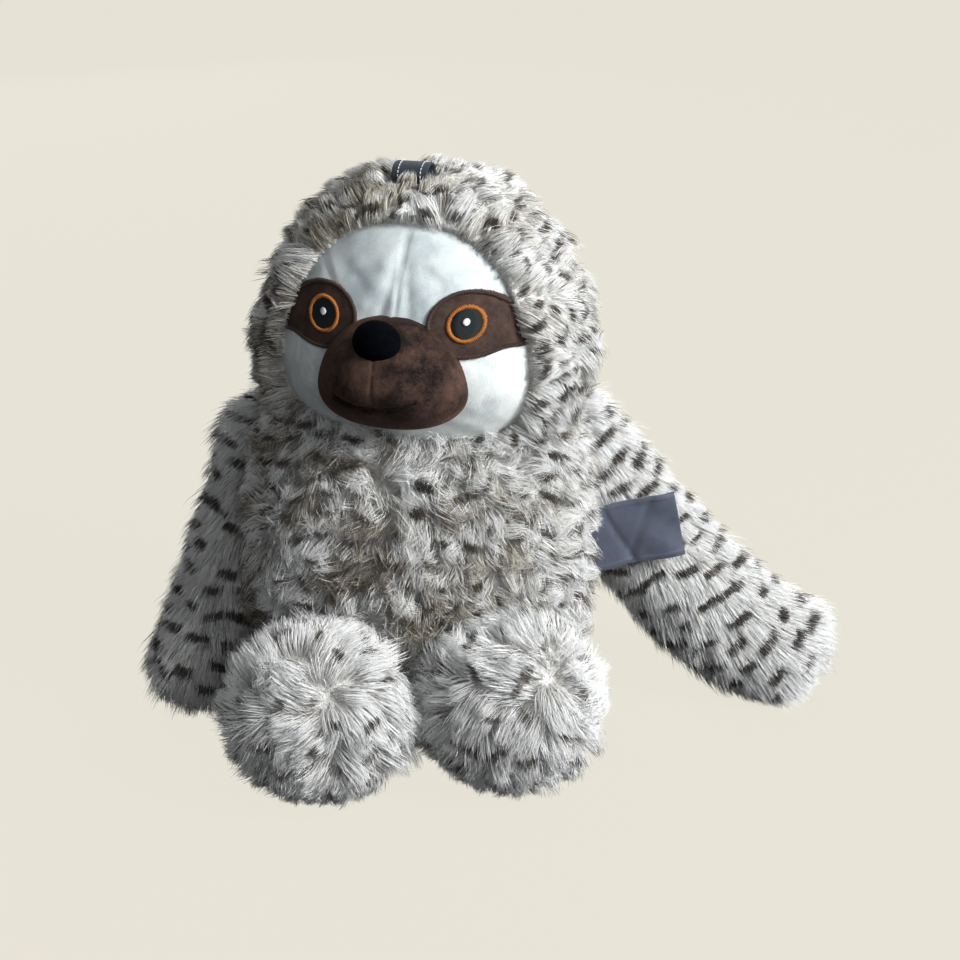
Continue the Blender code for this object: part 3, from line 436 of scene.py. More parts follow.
def short_pile_material():
    """Short white plush of the face, brushed in patches, with painted shade that darkens its upper part."""
    made, tree, shader = material("short_pile", 0.75, sheen=0.5, sheen_roughness=0.35, specular=0.2)
    patches = noise(tree, 34.0, 5.0, 0.65, (1.0, 1.0, 0.6))
    colour = ramp(tree, patches,
                  ((0.38, (0.55, 0.61, 0.63)), (0.52, (0.77, 0.82, 0.82)), (0.68, (0.88, 0.92, 0.91))))
    height = axes_of(tree, tree.nodes.new("ShaderNodeTexCoord").outputs["Generated"])["Z"]
    # Painted shade: the panel darkens towards its top, the forehead
    painted_top_shade = ramp(tree, height,
                   ((0.40, (1.0, 1.0, 1.0)), (0.70, (0.70, 0.73, 0.75)), (1.0, (0.74, 0.76, 0.77))))
    paint(tree, shader, mix(tree, 1.0, colour, painted_top_shade, "MULTIPLY"))
    fine = noise(tree, 1500.0, 2.0, 0.7, (1.0, 1.0, 0.45))
    bump(tree, shader, mix(tree, 0.35, fine, patches), 0.0005, 0.7)
    return made


def velvet_material(name, deep, nap_with_painted_sheen, scale, sheen=0.4, specular=0.12, stops=(0.39, 0.62)):
    """Velvet whose nap shows as lighter and darker brushed areas; the lighter colour is partly the nap's own
    tone and partly painted sheen.
    """
    made, tree, shader = material(name, 0.85, sheen=sheen, sheen_roughness=0.3, specular=specular)
    shader.inputs["Sheen Tint"].default_value = (*[min(1.0, 4.0 * part) for part in nap_with_painted_sheen], 1.0)
    nap = noise(tree, scale, 5.0, 0.7)
    grain = noise(tree, 2200.0, 2.0, 0.7)
    # Painted sheen: the lighter areas of the nap partly stand in for the velvet's highlights
    paint(tree, shader, ramp(tree, mix(tree, 0.3, nap, grain), tuple(zip(stops, (deep, nap_with_painted_sheen)))))
    bump(tree, shader, grain, 0.0005, 0.7)
    return made


def thread_material(name, colour, roughness=0.38, specular=0.4):
    """Shiny embroidery thread, slightly uneven in colour."""
    made, tree, shader = material(name, roughness, sheen=0.05, specular=specular)
    darker = tuple(part * 0.72 for part in colour)
    paint(tree, shader, ramp(tree, noise(tree, 1800.0, 2.0), ((0.35, darker), (0.65, colour))))
    bump(tree, shader, noise(tree, 6000.0, 1.0), 0.0001, 0.5)
    return made


def woven_material(name, colour, pitch, roughness, sheen):
    """Plain weave of warp and weft threads."""
    made, tree, shader = material(name, roughness, sheen=sheen, specular=0.4)
    place = tree.nodes.new("ShaderNodeTexCoord").outputs["UV"]
    waves = (linked(tree, "ShaderNodeTexWave", place, Scale=1.0 / pitch, Distortion=0.4, bands_direction=way)
             for way in ("X", "Y"))
    weave = mix(tree, 0.5, *(wave.outputs["Fac"] for wave in waves))
    darker = tuple(part * 0.55 for part in colour)
    lighter = tuple(min(1.0, part * 1.35) for part in colour)
    worn = mix(tree, 0.35, weave, noise(tree, 160.0, 4.0))
    paint(tree, shader, ramp(tree, worn, ((0.30, darker), (0.55, colour), (0.80, lighter))))
    bump(tree, shader, weave, pitch * 0.25, 0.6)
    return made


PILE = pile_material()
BACKING = backing_material()
SHORT_PILE = short_pile_material()
MUZZLE_VELVET = velvet_material("muzzle_velvet", (0.005, 0.004, 0.004), (0.098, 0.055, 0.042), 26.0,
                                stops=(0.45, 0.62))
PATCH_VELVET = velvet_material("patch_velvet", (0.034, 0.021, 0.018), (0.080, 0.052, 0.043), 90.0)
NOSE_VELVET = velvet_material("nose_velvet", (0.0008, 0.001, 0.002), (0.002, 0.003, 0.005), 120.0, 0.0,
                              specular=0.03)
ORANGE = thread_material("orange_thread", (0.52, 0.175, 0.028))
SLATE = thread_material("slate_thread", (0.015, 0.020, 0.022), 0.6, 0.2)
WHITE = thread_material("white_thread", (0.85, 0.87, 0.88))
BROWN = thread_material("brown_thread", (0.006, 0.004, 0.004), 0.8, 0.1)
EDGING = thread_material("edging_thread", (0.075, 0.046, 0.038), 0.6, 0.2)
WEBBING = woven_material("webbing", (0.028, 0.038, 0.052), 0.0011, 0.80, 0.1)
RIBBON = woven_material("ribbon", (0.090, 0.104, 0.145), 0.00035, 0.32, 0.2)


# Meshes

def added(name, data):
    """New object in the scene."""
    item = bpy.data.objects.new(name, data)
    bpy.context.scene.collection.objects.link(item)
    return item


def mesh_object(name, verts, faces, surface_material, uvs=None, smooth=True):
    """Object from vertex rows and equal-sided face rows."""
    verts, faces = np.asarray(verts, np.float32), np.asarray(faces, np.int32)
    mesh = bpy.data.meshes.new(name)
    mesh.vertices.add(len(verts))
    mesh.vertices.foreach_set("co", verts.ravel())
    mesh.loops.add(faces.size)
    mesh.loops.foreach_set("vertex_index", faces.ravel())
    mesh.polygons.add(len(faces))
    mesh.polygons.foreach_set("loop_start", np.arange(0, faces.size, faces.shape[1], dtype=np.int32))
    mesh.update(calc_edges=True)
    mesh.validate()
    mesh.polygons.foreach_set("use_smooth", np.full(len(mesh.polygons), smooth))
    if uvs is not None:
        layer = mesh.uv_layers.new(name="OFBake")
        layer.data.foreach_set("uv", np.asarray(uvs, np.float32)[faces.ravel()].ravel())
    mesh.materials.append(surface_material)
    return added(name, mesh)


def grid_faces(rows, sides, closed=True):
    """Quads of a grid, closed round its sides."""
    index = np.arange(rows * sides).reshape(rows, sides)
    after = np.roll(index, -1, 1)
    if not closed:
        index, after = index[:, :-1], after[:, :-1]
    return np.stack((index[:-1], index[1:], after[1:], after[:-1]), -1).reshape(-1, 4)


def tree_of(points):
    """Search tree of a closed grid."""
    return BVHTree.FromPolygons(points.reshape(-1, 3).tolist(), grid_faces(*points.shape[:2]).tolist())


def repeated(faces, size, count):
    """Triangles of many pieces alike, each with the given number of vertices."""
    return (np.array(faces) + size * np.arange(count)[:, None, None]).reshape(-1, 3)


def placed(item, body, slot, *nodes, fill=None):
    """Piece that rides on a body, with the nodes that it replaces hidden; its slot and how full it is are not
    used.
    """
    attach(item, body)
    if nodes:
        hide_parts(*nodes)
    return item


def started(item):
    """Build of an object's mesh."""
    build = bmesh.new()
    build.from_mesh(item.data)
    return build


def finished(build, mesh):
    """Writes a build to its mesh, with smooth faces that look outward."""
    bmesh.ops.recalc_face_normals(build, faces=build.faces[:])
    for face in build.faces:
        face.smooth = True
    build.to_mesh(mesh)
    build.free()


def capped(name, points, surface_material, drop_faces=None):
    """Closed piece from a grid, with its two ends filled in."""
    rows, sides = points.shape[:2]
    item = mesh_object(name, points.reshape(-1, 3), grid_faces(rows, sides), surface_material)
    build = started(item)
    build.verts.ensure_lookup_table()
    ends = [[build.verts[row * sides + k] for k in range(sides)] for row in (0, rows - 1)]
    for end in ends:
        middle = build.verts.new(sum((v.co for v in end), Vector()) / sides)
        for k in range(sides):
            build.faces.new((end[k], end[(k + 1) % sides], middle))
    if drop_faces:
        doomed = [face for face in build.faces if drop_faces(face.calc_center_median())]
        bmesh.ops.delete(build, geom=doomed, context="FACES")
    finished(build, item.data)
    return item


def backing(name, body, grid, fill, *nodes):
    """Cloth that a pile grows from, in place of the body's solids."""
    grid[..., 2] = np.maximum(grid[..., 2], FLOOR_GAP)
    return placed(capped(name, grid, BACKING), body, "fur", *nodes, fill=fill)


def weave_map(item, uvs):
    """Map that a weave is drawn on, from a place for each vertex."""
    order = np.empty(len(item.data.loops), np.int32)
    item.data.loops.foreach_get("vertex_index", order)
    layer = item.data.uv_layers.new(name="Weave")
    layer.data.foreach_set("uv", np.asarray(uvs, np.float32)[order].ravel())


# Pile

def everywhere(p, n=None):
    """One at every place."""
    return np.ones(p.shape[:-1])


def nowhere(p):
    """Zero at every place."""
    return np.zeros(p.shape[:-1])


def cell_areas(form, keep):
    """Areas of a grid's cells, with none where the pile isn't kept."""
    points, normals = form
    after = np.roll(points, -1, 1)
    area = np.linalg.norm(np.cross(after[:-1] - points[:-1], points[1:] - points[:-1]), axis=-1)
    return area * keep(points[:-1], normals[:-1])


def scatter(form, count, keep):
    """Random places and normals on a grid, spread evenly over its area."""
    area = cell_areas(form, keep)
    total = np.cumsum(area.ravel())
    cell = np.searchsorted(total, rng.random(count) * total[-1])
    row, column = np.divmod(np.minimum(cell, area.size - 1), area.shape[1])
    u, v = rng.random(count)[:, None], rng.random(count)[:, None]
    following = (column + 1) % area.shape[1]
    places, normals = ((values[row, column] * (1 - u) + values[row + 1, column] * u) * (1 - v)
                       + (values[row, following] * (1 - u) + values[row + 1, following] * u) * v
                       for values in form)
    return places, unit(normals)


def spread(places, gap):
    """Indices of places that lie at least a gap apart, taken in order."""
    taken = [0]
    for k in range(1, len(places)):
        if np.min(np.sum((places[taken] - places[k])**2, 1)) > gap * gap:
            taken.append(k)
    return np.array(taken)


def nearest(places, queries):
    """Index of the nearest place to each query."""
    tree = KDTree(len(places))
    for k, place in enumerate(places):
        tree.insert(place, k)
    tree.balance()
    return np.fromiter((tree.find(query)[1] for query in queries), int, len(queries))


def waver(points, scale, seed):
    """Smooth vector field with waves of about the given size."""
    local = np.random.default_rng(seed)
    field = np.zeros_like(points)
    for _ in range(5):
        waves = local.normal(size=(3, 3)) * (2.0 * math.pi / scale) * 0.6
        phase = local.random(3) * 2.0 * math.pi
        field += np.sin(points @ waves.T + phase)
    return field / 2.0


def flat_on(vectors, normals):
    """Vectors laid onto the surface."""
    return unit(vectors - normals * np.sum(vectors * normals, -1, keepdims=True))


def strands(name, body, paths, widths, tones):
    """Tapered three-sided strands, in pieces of a size that exports whole."""
    last = 3 * len(RING_WIDTHS) - 3
    size = last + 4
    faces = [(0, 2, 1)]
    for start in range(0, last, 3):
        for side in range(3):
            here, after = start + side, start + (side + 1) % 3
            faces += [(here, after, after + 3), (here, after + 3, here + 3)]
    faces += [(last + side, last + (side + 1) % 3, last + 3) for side in range(3)]
    for part, start in enumerate(range(0, len(widths), STRANDS_TO_A_PIECE)):
        rows = slice(start, start + STRANDS_TO_A_PIECE)
        path, width, tone = paths[rows], widths[rows], tones[rows]
        run = unit(path[:, -1] - path[:, 0])
        reference = np.where(np.abs(run[:, 2:]) > 0.8, (1.0, 0.0, 0.0), (0.0, 0.0, 1.0))
        first = unit(np.cross(run, reference))
        second = np.cross(run, first)
        verts = np.empty((len(width), size, 3))
        uvs = np.empty((len(width), size, 2))
        for side in range(3):
            angle = 2.0 * math.pi * side / 3.0
            turn = first * math.cos(angle) + second * math.sin(angle)
            for ring, thin in enumerate(RING_WIDTHS):
                place = 3 * ring + side
                verts[:, place] = path[:, ring] + turn * (width * thin / 2.0)[:, None]
                uvs[:, place, 0] = tone + (side - 1) * MAP_WIDTH
                uvs[:, place, 1] = RING_PLACES[ring] + (side * MAP_WIDTH if ring == 0 else 0.0)
        verts[:, -1] = path[:, -1]
        uvs[:, -1, 0] = tone
        uvs[:, -1, 1] = TIP_PLACE
        item = mesh_object(f"{name}_{part + 1}", verts.reshape(-1, 3), repeated(faces, size, len(width)),
                           PILE, uvs.reshape(-1, 2))
        placed(item, body, "fur")


def lerp_rings(path, share):
    """Places along strands at a share of their length."""
    part = min(np.searchsorted(PLACES, share, side="right") - 1, len(PLACES) - 2)
    rest = (share - PLACES[part]) / (PLACES[part + 1] - PLACES[part])
    return path[:, part] * (1.0 - rest) + path[:, part + 1] * rest


def crossing(along, across):
    """Where each strand passes the middle of a fleck, and how far to its side."""
    places = np.array(PLACES)
    rise = np.diff(along, axis=1)
    share = -along[:, :-1] / np.where(np.abs(rise) < 1e-6, 1e-6, rise)
    valid = (share >= 0.0) & (share < 1.0)
    valid[:, -1] = (share[:, -1] >= 0.0) & (share[:, -1] < 1.3)
    row = np.arange(len(along))
    part = np.argmax(valid, 1)
    share = share[row, part]
    side = across[row, part] * (1.0 - share) + across[row, part + 1] * share
    return valid.any(1), places[part] + share * np.diff(places)[part], side


def varied(share, low, high, size):
    """Random factors round one, kept between low and high."""
    return np.clip(1.0 + share * rng.normal(size=size), low, high)


def strand_paths(form, count, comb, keep, shape, pale, *, length, lift, stray, tuft, hold, sag, curl):
    """Paths of strands from under their cloth to their tips, drawn together in tufts."""
    root, normal = scatter(form, count, keep)
    tufts = max(40, int(float(cell_areas(form, keep).sum()) / tuft**2))
    tuft_root, tuft_normal = scatter(form, tufts, keep)
    home = nearest(tuft_root, root)

    tuft_comb = comb(tuft_root, tuft_normal)
    sideways = np.cross(tuft_normal, tuft_comb)
    swing = rng.normal(size=(tufts, 1)) * stray * (1.0 - 0.7 * pale(tuft_root)[:, None])
    tuft_comb = unit(tuft_comb * np.cos(swing) + sideways * np.sin(swing))
    tuft_lift = np.clip(lift * (1.0 + 0.30 * rng.normal(size=(tufts, 1))), 0.08, 1.1)
    tuft_size = length * varied(0.18, 0.6, 1.35, (tufts, 1))

    size = tuft_size[home] * varied(0.14, 0.6, 1.3, (count, 1)) * shape(root)[:, None]
    rise = tuft_lift[home] + 0.12 * rng.normal(size=(count, 1))
    drift = flat_on(rng.normal(size=root.shape), normal)
    mixed = unit(comb(root, normal) * 0.45 + flat_on(tuft_comb[home], normal) * 0.55 + drift * 0.14)
    tip = root + size * (mixed * np.cos(rise) + normal * np.sin(rise))
    tuft_tip = tuft_root + tuft_size * (tuft_comb * np.cos(tuft_lift) + tuft_normal * np.sin(tuft_lift))
    away = np.linalg.norm(tuft_root[home] - root, axis=1)[:, None]
    pull = np.minimum(hold * varied(0.25, 0.2, 1.5, (count, 1)), 0.92)
    gather = (tuft_tip[home] - tip) * (pull * smooth_step(3.0 * tuft, 1.2 * tuft, away))
    bend = drift * size * curl

    path = np.empty((count, len(PLACES), 3))
    for k, s in enumerate(PLACES):
        straight = root - normal * ROOT_DEPTH + (tip - root) * s + normal * ROOT_DEPTH * s
        arch = normal * size * 0.40 * s * (1.0 - s)
        path[:, k] = straight + arch + gather * s**1.7 + bend * math.sin(math.pi * s)
        path[:, k, 2] -= sag * size[:, 0] * s * s
    path[..., 2] = np.maximum(path[..., 2], 0.0008 + 0.0016 * rng.random((count, 1)))
    return path


def fleck_places(path, form, comb, keep, pale, spacing, half_across, strength, slant):
    """Share of its length where each strand is dyed dark by a fleck of the pattern, or zero."""
    spot, spot_normal = scatter(form, FLECK_TRIES, keep)
    chosen = spread(spot, spacing)
    spot, spot_normal = spot[chosen], spot_normal[chosen]
    vigour = strength * varied(0.22, 0.4, 1.1, len(spot)) * (1.0 - pale(spot))
    reach = half_across * varied(0.30, 0.5, 1.6, len(spot))
    tilt = slant * rng.normal(size=(len(spot), 1))
    run = comb(spot, spot_normal)
    side = np.cross(spot_normal, run)
    along, across = run * np.cos(tilt) + side * np.sin(tilt), side * np.cos(tilt) - run * np.sin(tilt)

    count = len(path)
    dyed = np.zeros(count)
    for k in (2, 3):
        close = nearest(spot + spot_normal * 0.007, path[:, k])
        offset = path - spot[close][:, None]
        met, at, off = crossing(*(np.sum(offset * way[close][:, None], 2) for way in (along, across)))
        met &= np.abs(off) < reach[close] * (1.0 + 0.15 * rng.normal(size=count))
        met &= rng.random(count) < vigour[close]
        dyed = np.where(met & (at > 0.25), at + 0.03 * rng.normal(size=count), dyed)
    return dyed


def grow(name, body, form, count, comb, *, flecks, brown, mottle, shaded=0.9, slant=0.25, spots=(),
         width=0.00033, keep=everywhere, shape=everywhere, pale=nowhere, **lay):
    """Pile on a grid: strands in tufts, dyed dark in flecks and spots, with a random muddy mottle that
    painted shade deepens towards -x, the side away from the key light.
    """
    path = strand_paths(form, count, comb, keep, shape, pale, **{**USUAL_LAY, **lay})
    dyed = fleck_places(path, form, comb, keep, pale, *flecks, slant)
    brownish = rng.random(count) < brown

    where = path[:, -1]
    cloud = waver(where, 0.05, 7)[:, 0] + 0.5 * waver(where, 0.02, 8)[:, 1] + 0.5 * rng.normal(size=count)
    # Painted shade: shaded adds to the random mottle towards -x, away from the key light, giving darker tones
    # and more dark tips there
    mottle_and_painted_shade = mottle * smooth_step(-0.6, 1.3, cloud) * (1.0 + shaded * smooth_step(0.03, -0.05, where[:, 0]))
    mottle_and_painted_shade = mottle_and_painted_shade * (1.0 - pale(where))
    tipped = (rng.random(count) < 0.50 * mottle_and_painted_shade) & (dyed == 0.0)
    dyed = np.where(tipped, 0.5 + 0.45 * rng.random(count), dyed)
    brownish |= tipped
    for place, radius in spots:
        near = np.flatnonzero(np.linalg.norm(path[:, 2] - place, axis=1) < 0.030)
        shares = np.linspace(0.30, 1.0, 8)
        off = np.stack([lerp_rings(path[near], share) - place for share in shares], 1)
        apart = np.linalg.norm(off - (off @ CHEST_OUTWARD)[..., None] * CHEST_OUTWARD, axis=2)
        closest = apart.min(1) < radius
        dyed[near[closest]] = shares[apart.argmin(1)][closest]
        brownish[near[closest]] = False
    tone = np.searchsorted(TONE_STEPS, 0.07 + 0.06 * rng.normal(size=count) + 0.36 * mottle_and_painted_shade)
    tone = tone + TONES // 2 * brownish
    packed = (tone + BAND_MARGIN + (1.0 - 2.0 * BAND_MARGIN) * np.clip(dyed, 0.0, 1.0)) / TONES
    strands(name, body, path, width * varied(0.3, 0.5, 1.8, count), packed)


def torso_and_pile():
    """Body: backing with a front seam, and tangled pile."""
    grid = torso_grid(BACKING_INSET)
    groove = np.exp(-(grid[..., 0] / 0.006)**2) * smooth_step(-0.02, -0.05, grid[..., 1])
    grid[..., 1] += 0.002 * groove
    backing("torso_backing", "torso", grid, 0.8, "torso_fur_skin", "torso_stuffing")

    def comb(p, n):
        x, y, _ = split(p)
        seam = np.exp(-(x / 0.010)**2) * smooth_step(-0.02, -0.05, y)
        flow = np.stack((x * 3.0 * (1.0 - seam), 0.0 * x, -1.0 + 0.0 * x), 1)
        return flat_on(flow + waver(p, 0.045, 3) * (0.75 - 0.5 * seam)[:, None], n)

    def keep(p, n):
        x, y, z = split(p)
        hidden = (z > 0.212) | (np.hypot(x, y) < 0.03) & (z < 0.01)
        beside = (np.abs(y + 0.019) < 0.006) & (np.abs(z - LABEL_SEAM) < LABEL_HEIGHT / 2 + 0.002)
        return np.where(hidden | beside & (x > 0.085), 0.0, 1.0) * smooth_step(-0.002, 0.006, z)

    def shape(p):
        x, y, z = split(p)
        by_label = np.exp(-((y + 0.027) / 0.020)**2 - ((z - LABEL_SEAM) / 0.028)**2) * (x > 0.07)
        return (0.55 + 0.45 * smooth_step(0.0, 0.03, z)) * (1.0 - 0.62 * by_label)

    def pale(p):
        x, y, z = split(p)
        return 0.95 * np.exp(-((x + 0.004) / 0.010)**2) * (y < -0.03) * smooth_step(0.10, 0.13, z)
    # shaded=1.7 paints the strongest shade on the body's -x side
    grow("torso_pile", "torso", surface(torso_grid(0.0)), 84000, comb, length=0.017, lift=0.36, stray=0.95,
         tuft=0.0054, hold=0.60, curl=0.13, flecks=(0.0112, 0.0056, 0.90), brown=0.42, mottle=1.05,
         shaded=1.7, spots=CHEST_SPOTS, width=0.00030, keep=keep, shape=shape, pale=pale)


def head_and_pile():
    """Hood: backing open at the face, and pile that radiates from the crown and round the face."""
    rim = face_outline(0.001)

    def in_face(place):
        x, y, z = unturned(np.array(place))
        return y < FACE_FRONT and bool(inside(rim, x, z))
    cloth = capped("hood_backing", turned(head_grid(0.004)), BACKING, in_face)
    build = started(cloth)
    border = [edge for edge in build.edges if edge.is_boundary]
    middle = Vector(turned(np.array((HEAD_SHIFT, 0.0, 0.255))))
    for item in bmesh.ops.extrude_edge_only(build, edges=border)["geom"]:
        if isinstance(item, bmesh.types.BMVert):
            item.co += (middle - item.co).normalized() * RIM_DEPTH
    finished(build, cloth.data)
    placed(cloth, "head", "fur", "head_fur_hood", "head_stuffing", fill=0.8)

    outline, near_outline = face_outline(0.0015), face_outline(0.018)
    crown = turned(np.array((HEAD_SHIFT, -0.004, 0.338)))
    face_middle = turned(np.array((HEAD_SHIFT, -0.085, 0.256)))

    def comb(p, n):
        x, y, z = split(unturned(p))
        ringed = (inside(near_outline, x, z) * smooth_step(-0.01, -0.05, y))[:, None]
        flow = unit(p - crown) * (1.0 - 0.85 * ringed) + unit(p - face_middle) * ringed * 1.1
        return flat_on(flow + waver(p, 0.05, 4) * 0.45, n)

    def keep(p, n):
        x, y, z = split(unturned(p))
        in_opening = inside(outline, x, z) & (y < FACE_FRONT)
        parting = (np.abs(x - LOOP_MIDDLE[0]) < 0.0125) & (np.abs(y - LOOP_MIDDLE[1] + 0.0025) < 0.0155)
        return np.where(in_opening | parting & (z > 0.31) | (z < 0.190), 0.0, 1.0)

    def shape(p):
        x, y, z = split(unturned(p))
        ringed = inside(near_outline, x, z) & (y < FACE_FRONT)
        off = (x - LOOP_MIDDLE[0]) / 0.020, (y - LOOP_MIDDLE[1] + 0.016) / 0.024
        by_loop = np.exp(-(off[0]**2 + off[1]**2)) * (z > 0.30)
        by_height = 0.93 - 0.22 * smooth_step(0.300, 0.330, z)
        return np.where(ringed, 0.85, 1.0) * (1.0 - 0.80 * by_loop) * by_height
    grow("hood_pile", "head", surface(turned(head_grid(0.0))), 70000, comb, lift=0.34, stray=0.40, hold=0.45,
         flecks=(0.0116, 0.0068, 0.95), brown=0.25, mottle=0.62, keep=keep, shape=shape)


def arm_and_pile(side):
    """One arm with pile combed along it towards the paw."""
    name = "left_arm" if side > 0 else "right_arm"
    backing(name + "_backing", name, arm_grid(side, BACKING_INSET), 0.6, name + "_skin", name + "_stuffing")
    points = arm_grid(side, 0.0)
    middles = points.mean(1)
    steps = unit(np.gradient(middles, axis=0))

    def comb(p, n):
        return flat_on(steps[nearest(middles, p)] + (0.0, 0.0, -0.25) + waver(p, 0.06, 5) * 0.16, n)

    def near_paw(p, distance):
        return smooth_step(distance, 0.024, np.linalg.norm(p - middles[-1], axis=1))

    def shape(p):
        x, y, z = split(p)
        by_label = np.exp(-((z - LABEL_SEAM) / 0.026)**2) * (x > 0.07) * (y < 0.012)
        by_floor = 0.60 + 0.40 * smooth_step(0.0, 0.030, z)
        return by_floor * (1.0 - 0.55 * by_label) * (1.0 - 0.35 * near_paw(p, 0.040))

    def pale(p):
        return near_paw(p, 0.036)
    grow(name + "_pile", name, surface(points), 35000 if side > 0 else 28000, comb, lift=0.25, stray=0.13,
         tuft=0.0065, hold=0.22, sag=0.05, flecks=(0.0145, 0.0082, 0.95), brown=0.08, mottle=0.10, slant=0.12,
         shape=shape, pale=pale)


def leg_and_pile(side):
    """One leg with pile that radiates from the whorl on its foot."""
    name = "left_leg" if side > 0 else "right_leg"
    backing(name + "_backing", name, leg_grid(side, BACKING_INSET), 0.8, name + "_skin", name + "_stuffing")
    whorl = np.array((0.078, -0.132, 0.070)) if side > 0 else np.array((-0.052, -0.150, 0.078))

    def comb(p, n):
        away = unit(p - whorl)
        return flat_on(away + 0.5 * side * np.cross(n, away) + waver(p, 0.032, 6) * 0.80, n)

    def shape(p):
        return 0.36 + 0.60 * smooth_step(0.0, 0.050, p[:, 2])

    def pale(p):
        return 0.7 * np.exp(-(np.linalg.norm(p - whorl, axis=1) / 0.030)**2)
    grow(name + "_pile", name, surface(leg_grid(side, 0.0)), 28000, comb, length=0.017, lift=0.30, stray=0.42,
         tuft=0.0072, hold=0.36, flecks=(0.0172, 0.0070, 0.85), brown=0.35, mottle=0.05,
         shape=shape, pale=pale)


# Face and trims

def front_of(tree, x, z):
    """Place on the front of a form, under a point of the head's x and z."""
    hit = tree.ray_cast(Vector((x, -0.3, z)), Vector((0.0, 1.0, 0.0)))
    return np.array(hit[0] if hit[0] is not None else (x, -0.02, z))


def no_relief(x, z):
    """No relief."""
    return 0.0 * x


def disc(name, outline, tree, steps, lift, surface_material, relief=no_relief, thickness=0.0012, edge=0.0):
    """Piece laid on a form inside an outline, with a thickness and its relief."""
    middle = outline.mean(0)
    shares = np.linspace(0.0, 1.0, steps + 1)[1:]
    under = np.array([[front_of(tree, *(middle + (place - middle) * share)) for place in outline]
                      for share in shares])
    centre = front_of(tree, *middle)
    rise = lift + relief(under[..., 0], under[..., 2]) - edge * smooth_step(0.9, 1.0, shares)[:, None]
    low = lift - thickness
    ends = centre + np.array([[lift + relief(centre[0], centre[2])], [low]]) * AHEAD
    verts = np.concatenate([places.reshape(-1, 3) for places in (under + rise[..., None] * AHEAD,
                                                                 under + low * AHEAD, ends)])
    count = len(outline)
    size = steps * count
    last = size - count
    pairs = [(k, (k + 1) % count) for k in range(count)]
    faces = [(last + a, last + b, size + last + b, size + last + a) for a, b in pairs]
    for layer in (0, 1):
        faces += [*(grid_faces(steps, count) + layer * size)]
        faces += [(layer * size + a, layer * size + b, 2 * size + layer) for a, b in pairs]
    build = bmesh.new()
    made = [build.verts.new(place) for place in turned(verts)]
    for corners in faces:
        build.faces.new([made[k] for k in corners])
    mesh = bpy.data.meshes.new(name)
    finished(build, mesh)
    mesh.materials.append(surface_material)
    return added(name, mesh)


def threads(name, starts, ends, normals, radius, surface_material, slot, *nodes, rise=1.0):
    """Short stitches on the head, each an arch of thread from one place to another."""
    s = np.linspace(0.0, 1.0, THREAD_RINGS)[None, :, None]
    arch = np.sin(math.pi * s)**0.6
    path = starts[:, None] * (1 - s) + ends[:, None] * s + normals[:, None] * (arch * radius * rise)
    run = unit(ends - starts)[:, None]
    side = unit(np.cross(run, normals[:, None]))
    up = unit(np.cross(side, run))
    angles = 2.0 * math.pi * np.arange(THREAD_SIDES)[:, None] / THREAD_SIDES
    verts = path[:, :, None] + (side[:, :, None] * np.cos(angles) + up[:, :, None] * np.sin(angles)) * radius
    quads = grid_faces(THREAD_RINGS, THREAD_SIDES)
    last = (THREAD_RINGS - 1) * THREAD_SIDES
    caps = [(0, k, k + 1) for k in range(1, THREAD_SIDES - 1)]
    caps += [(last + second, last + first, last) for _, first, second in caps]
    faces = np.concatenate((quads[:, [0, 1, 2]], quads[:, [0, 2, 3]], caps))
    item = mesh_object(name, verts.reshape(-1, 3), repeated(faces, last + THREAD_SIDES, len(starts)),
                       surface_material)
    return placed(item, "head", slot, *nodes)


def on_face(tree, points, lift):
    """Places and normals on a form for points of the head's x and z."""
    def shifted(across, up):
        return np.array([front_of(tree, x + across, z + up) for x, z in points])
    places = shifted(0.0, 0.0)
    normals = unit(np.cross(shifted(0.001, 0.0) - places, shifted(0.0, 0.001) - places))
    normals *= -np.sign(normals[:, 1:2])
    return turned(places + normals * lift), turned(normals)


def distances(points):
    """Distance along a line at each of its points."""
    return np.concatenate(([0.0], np.cumsum(np.linalg.norm(np.diff(points, axis=0), axis=1))))


def satin(name, outline, tree, lift, width, pitch, surface_material, slot, *nodes):
    """Satin stitch along an outline: threads side by side across it."""
    closed = np.concatenate((outline, outline[:1]))
    lengths = distances(closed)
    count = int(lengths[-1] / pitch)
    at = np.arange(count) * lengths[-1] / count
    points = np.stack([np.interp(at, lengths, closed[:, k]) for k in (0, 1)], 1)
    run = unit(np.roll(points, -1, 0) - np.roll(points, 1, 0))
    across = np.stack((run[:, 1], -run[:, 0]), 1)
    half = across * width * 0.5 * (1.0 + 0.10 * rng.normal(size=(count, 1)))
    starts, normals = on_face(tree, points - half, lift)
    ends, _ = on_face(tree, points + half, lift)
    return threads(name, starts, ends, normals, THREAD_RADIUS, surface_material, slot, *nodes, rise=1.6)


def circle(middle, radius, count=96):
    """Circle in the head's x and z."""
    angle = 2.0 * math.pi * np.arange(count) / count
    return np.stack((middle[0] + radius * np.cos(angle), middle[1] + radius * np.sin(angle)), 1)


def filled(name, middle, radius, tree, lift, pitch, surface_material, slot, *nodes):
    """Disc of parallel stitches."""
    rows = np.arange(-radius + pitch / 2, radius, pitch)
    halves = np.sqrt(np.maximum(radius**2 - rows**2, 1e-10))
    (starts, normals), (ends, _) = (
        on_face(tree, np.stack((middle[0] + way * halves, middle[1] + rows), 1), lift) for way in (-1.0, 1.0))
    return threads(name, starts, ends, normals, FINE_THREAD_RADIUS, surface_material, slot, *nodes)


def crease(x, z, start, end, width):
    """Ridge of height one along a straight line, soft at its sides and ends."""
    run = np.subtract(end, start)
    length = np.hypot(*run)
    run = run / length
    along = (x - start[0]) * run[0] + (z - start[1]) * run[1]
    off = (x - start[0]) * run[1] - (z - start[1]) * run[0]
    begun = smooth_step(-0.003, 0.004, along)
    return np.exp(-(off / width)**2) * begun * smooth_step(length + 0.003, length - 0.004, along)


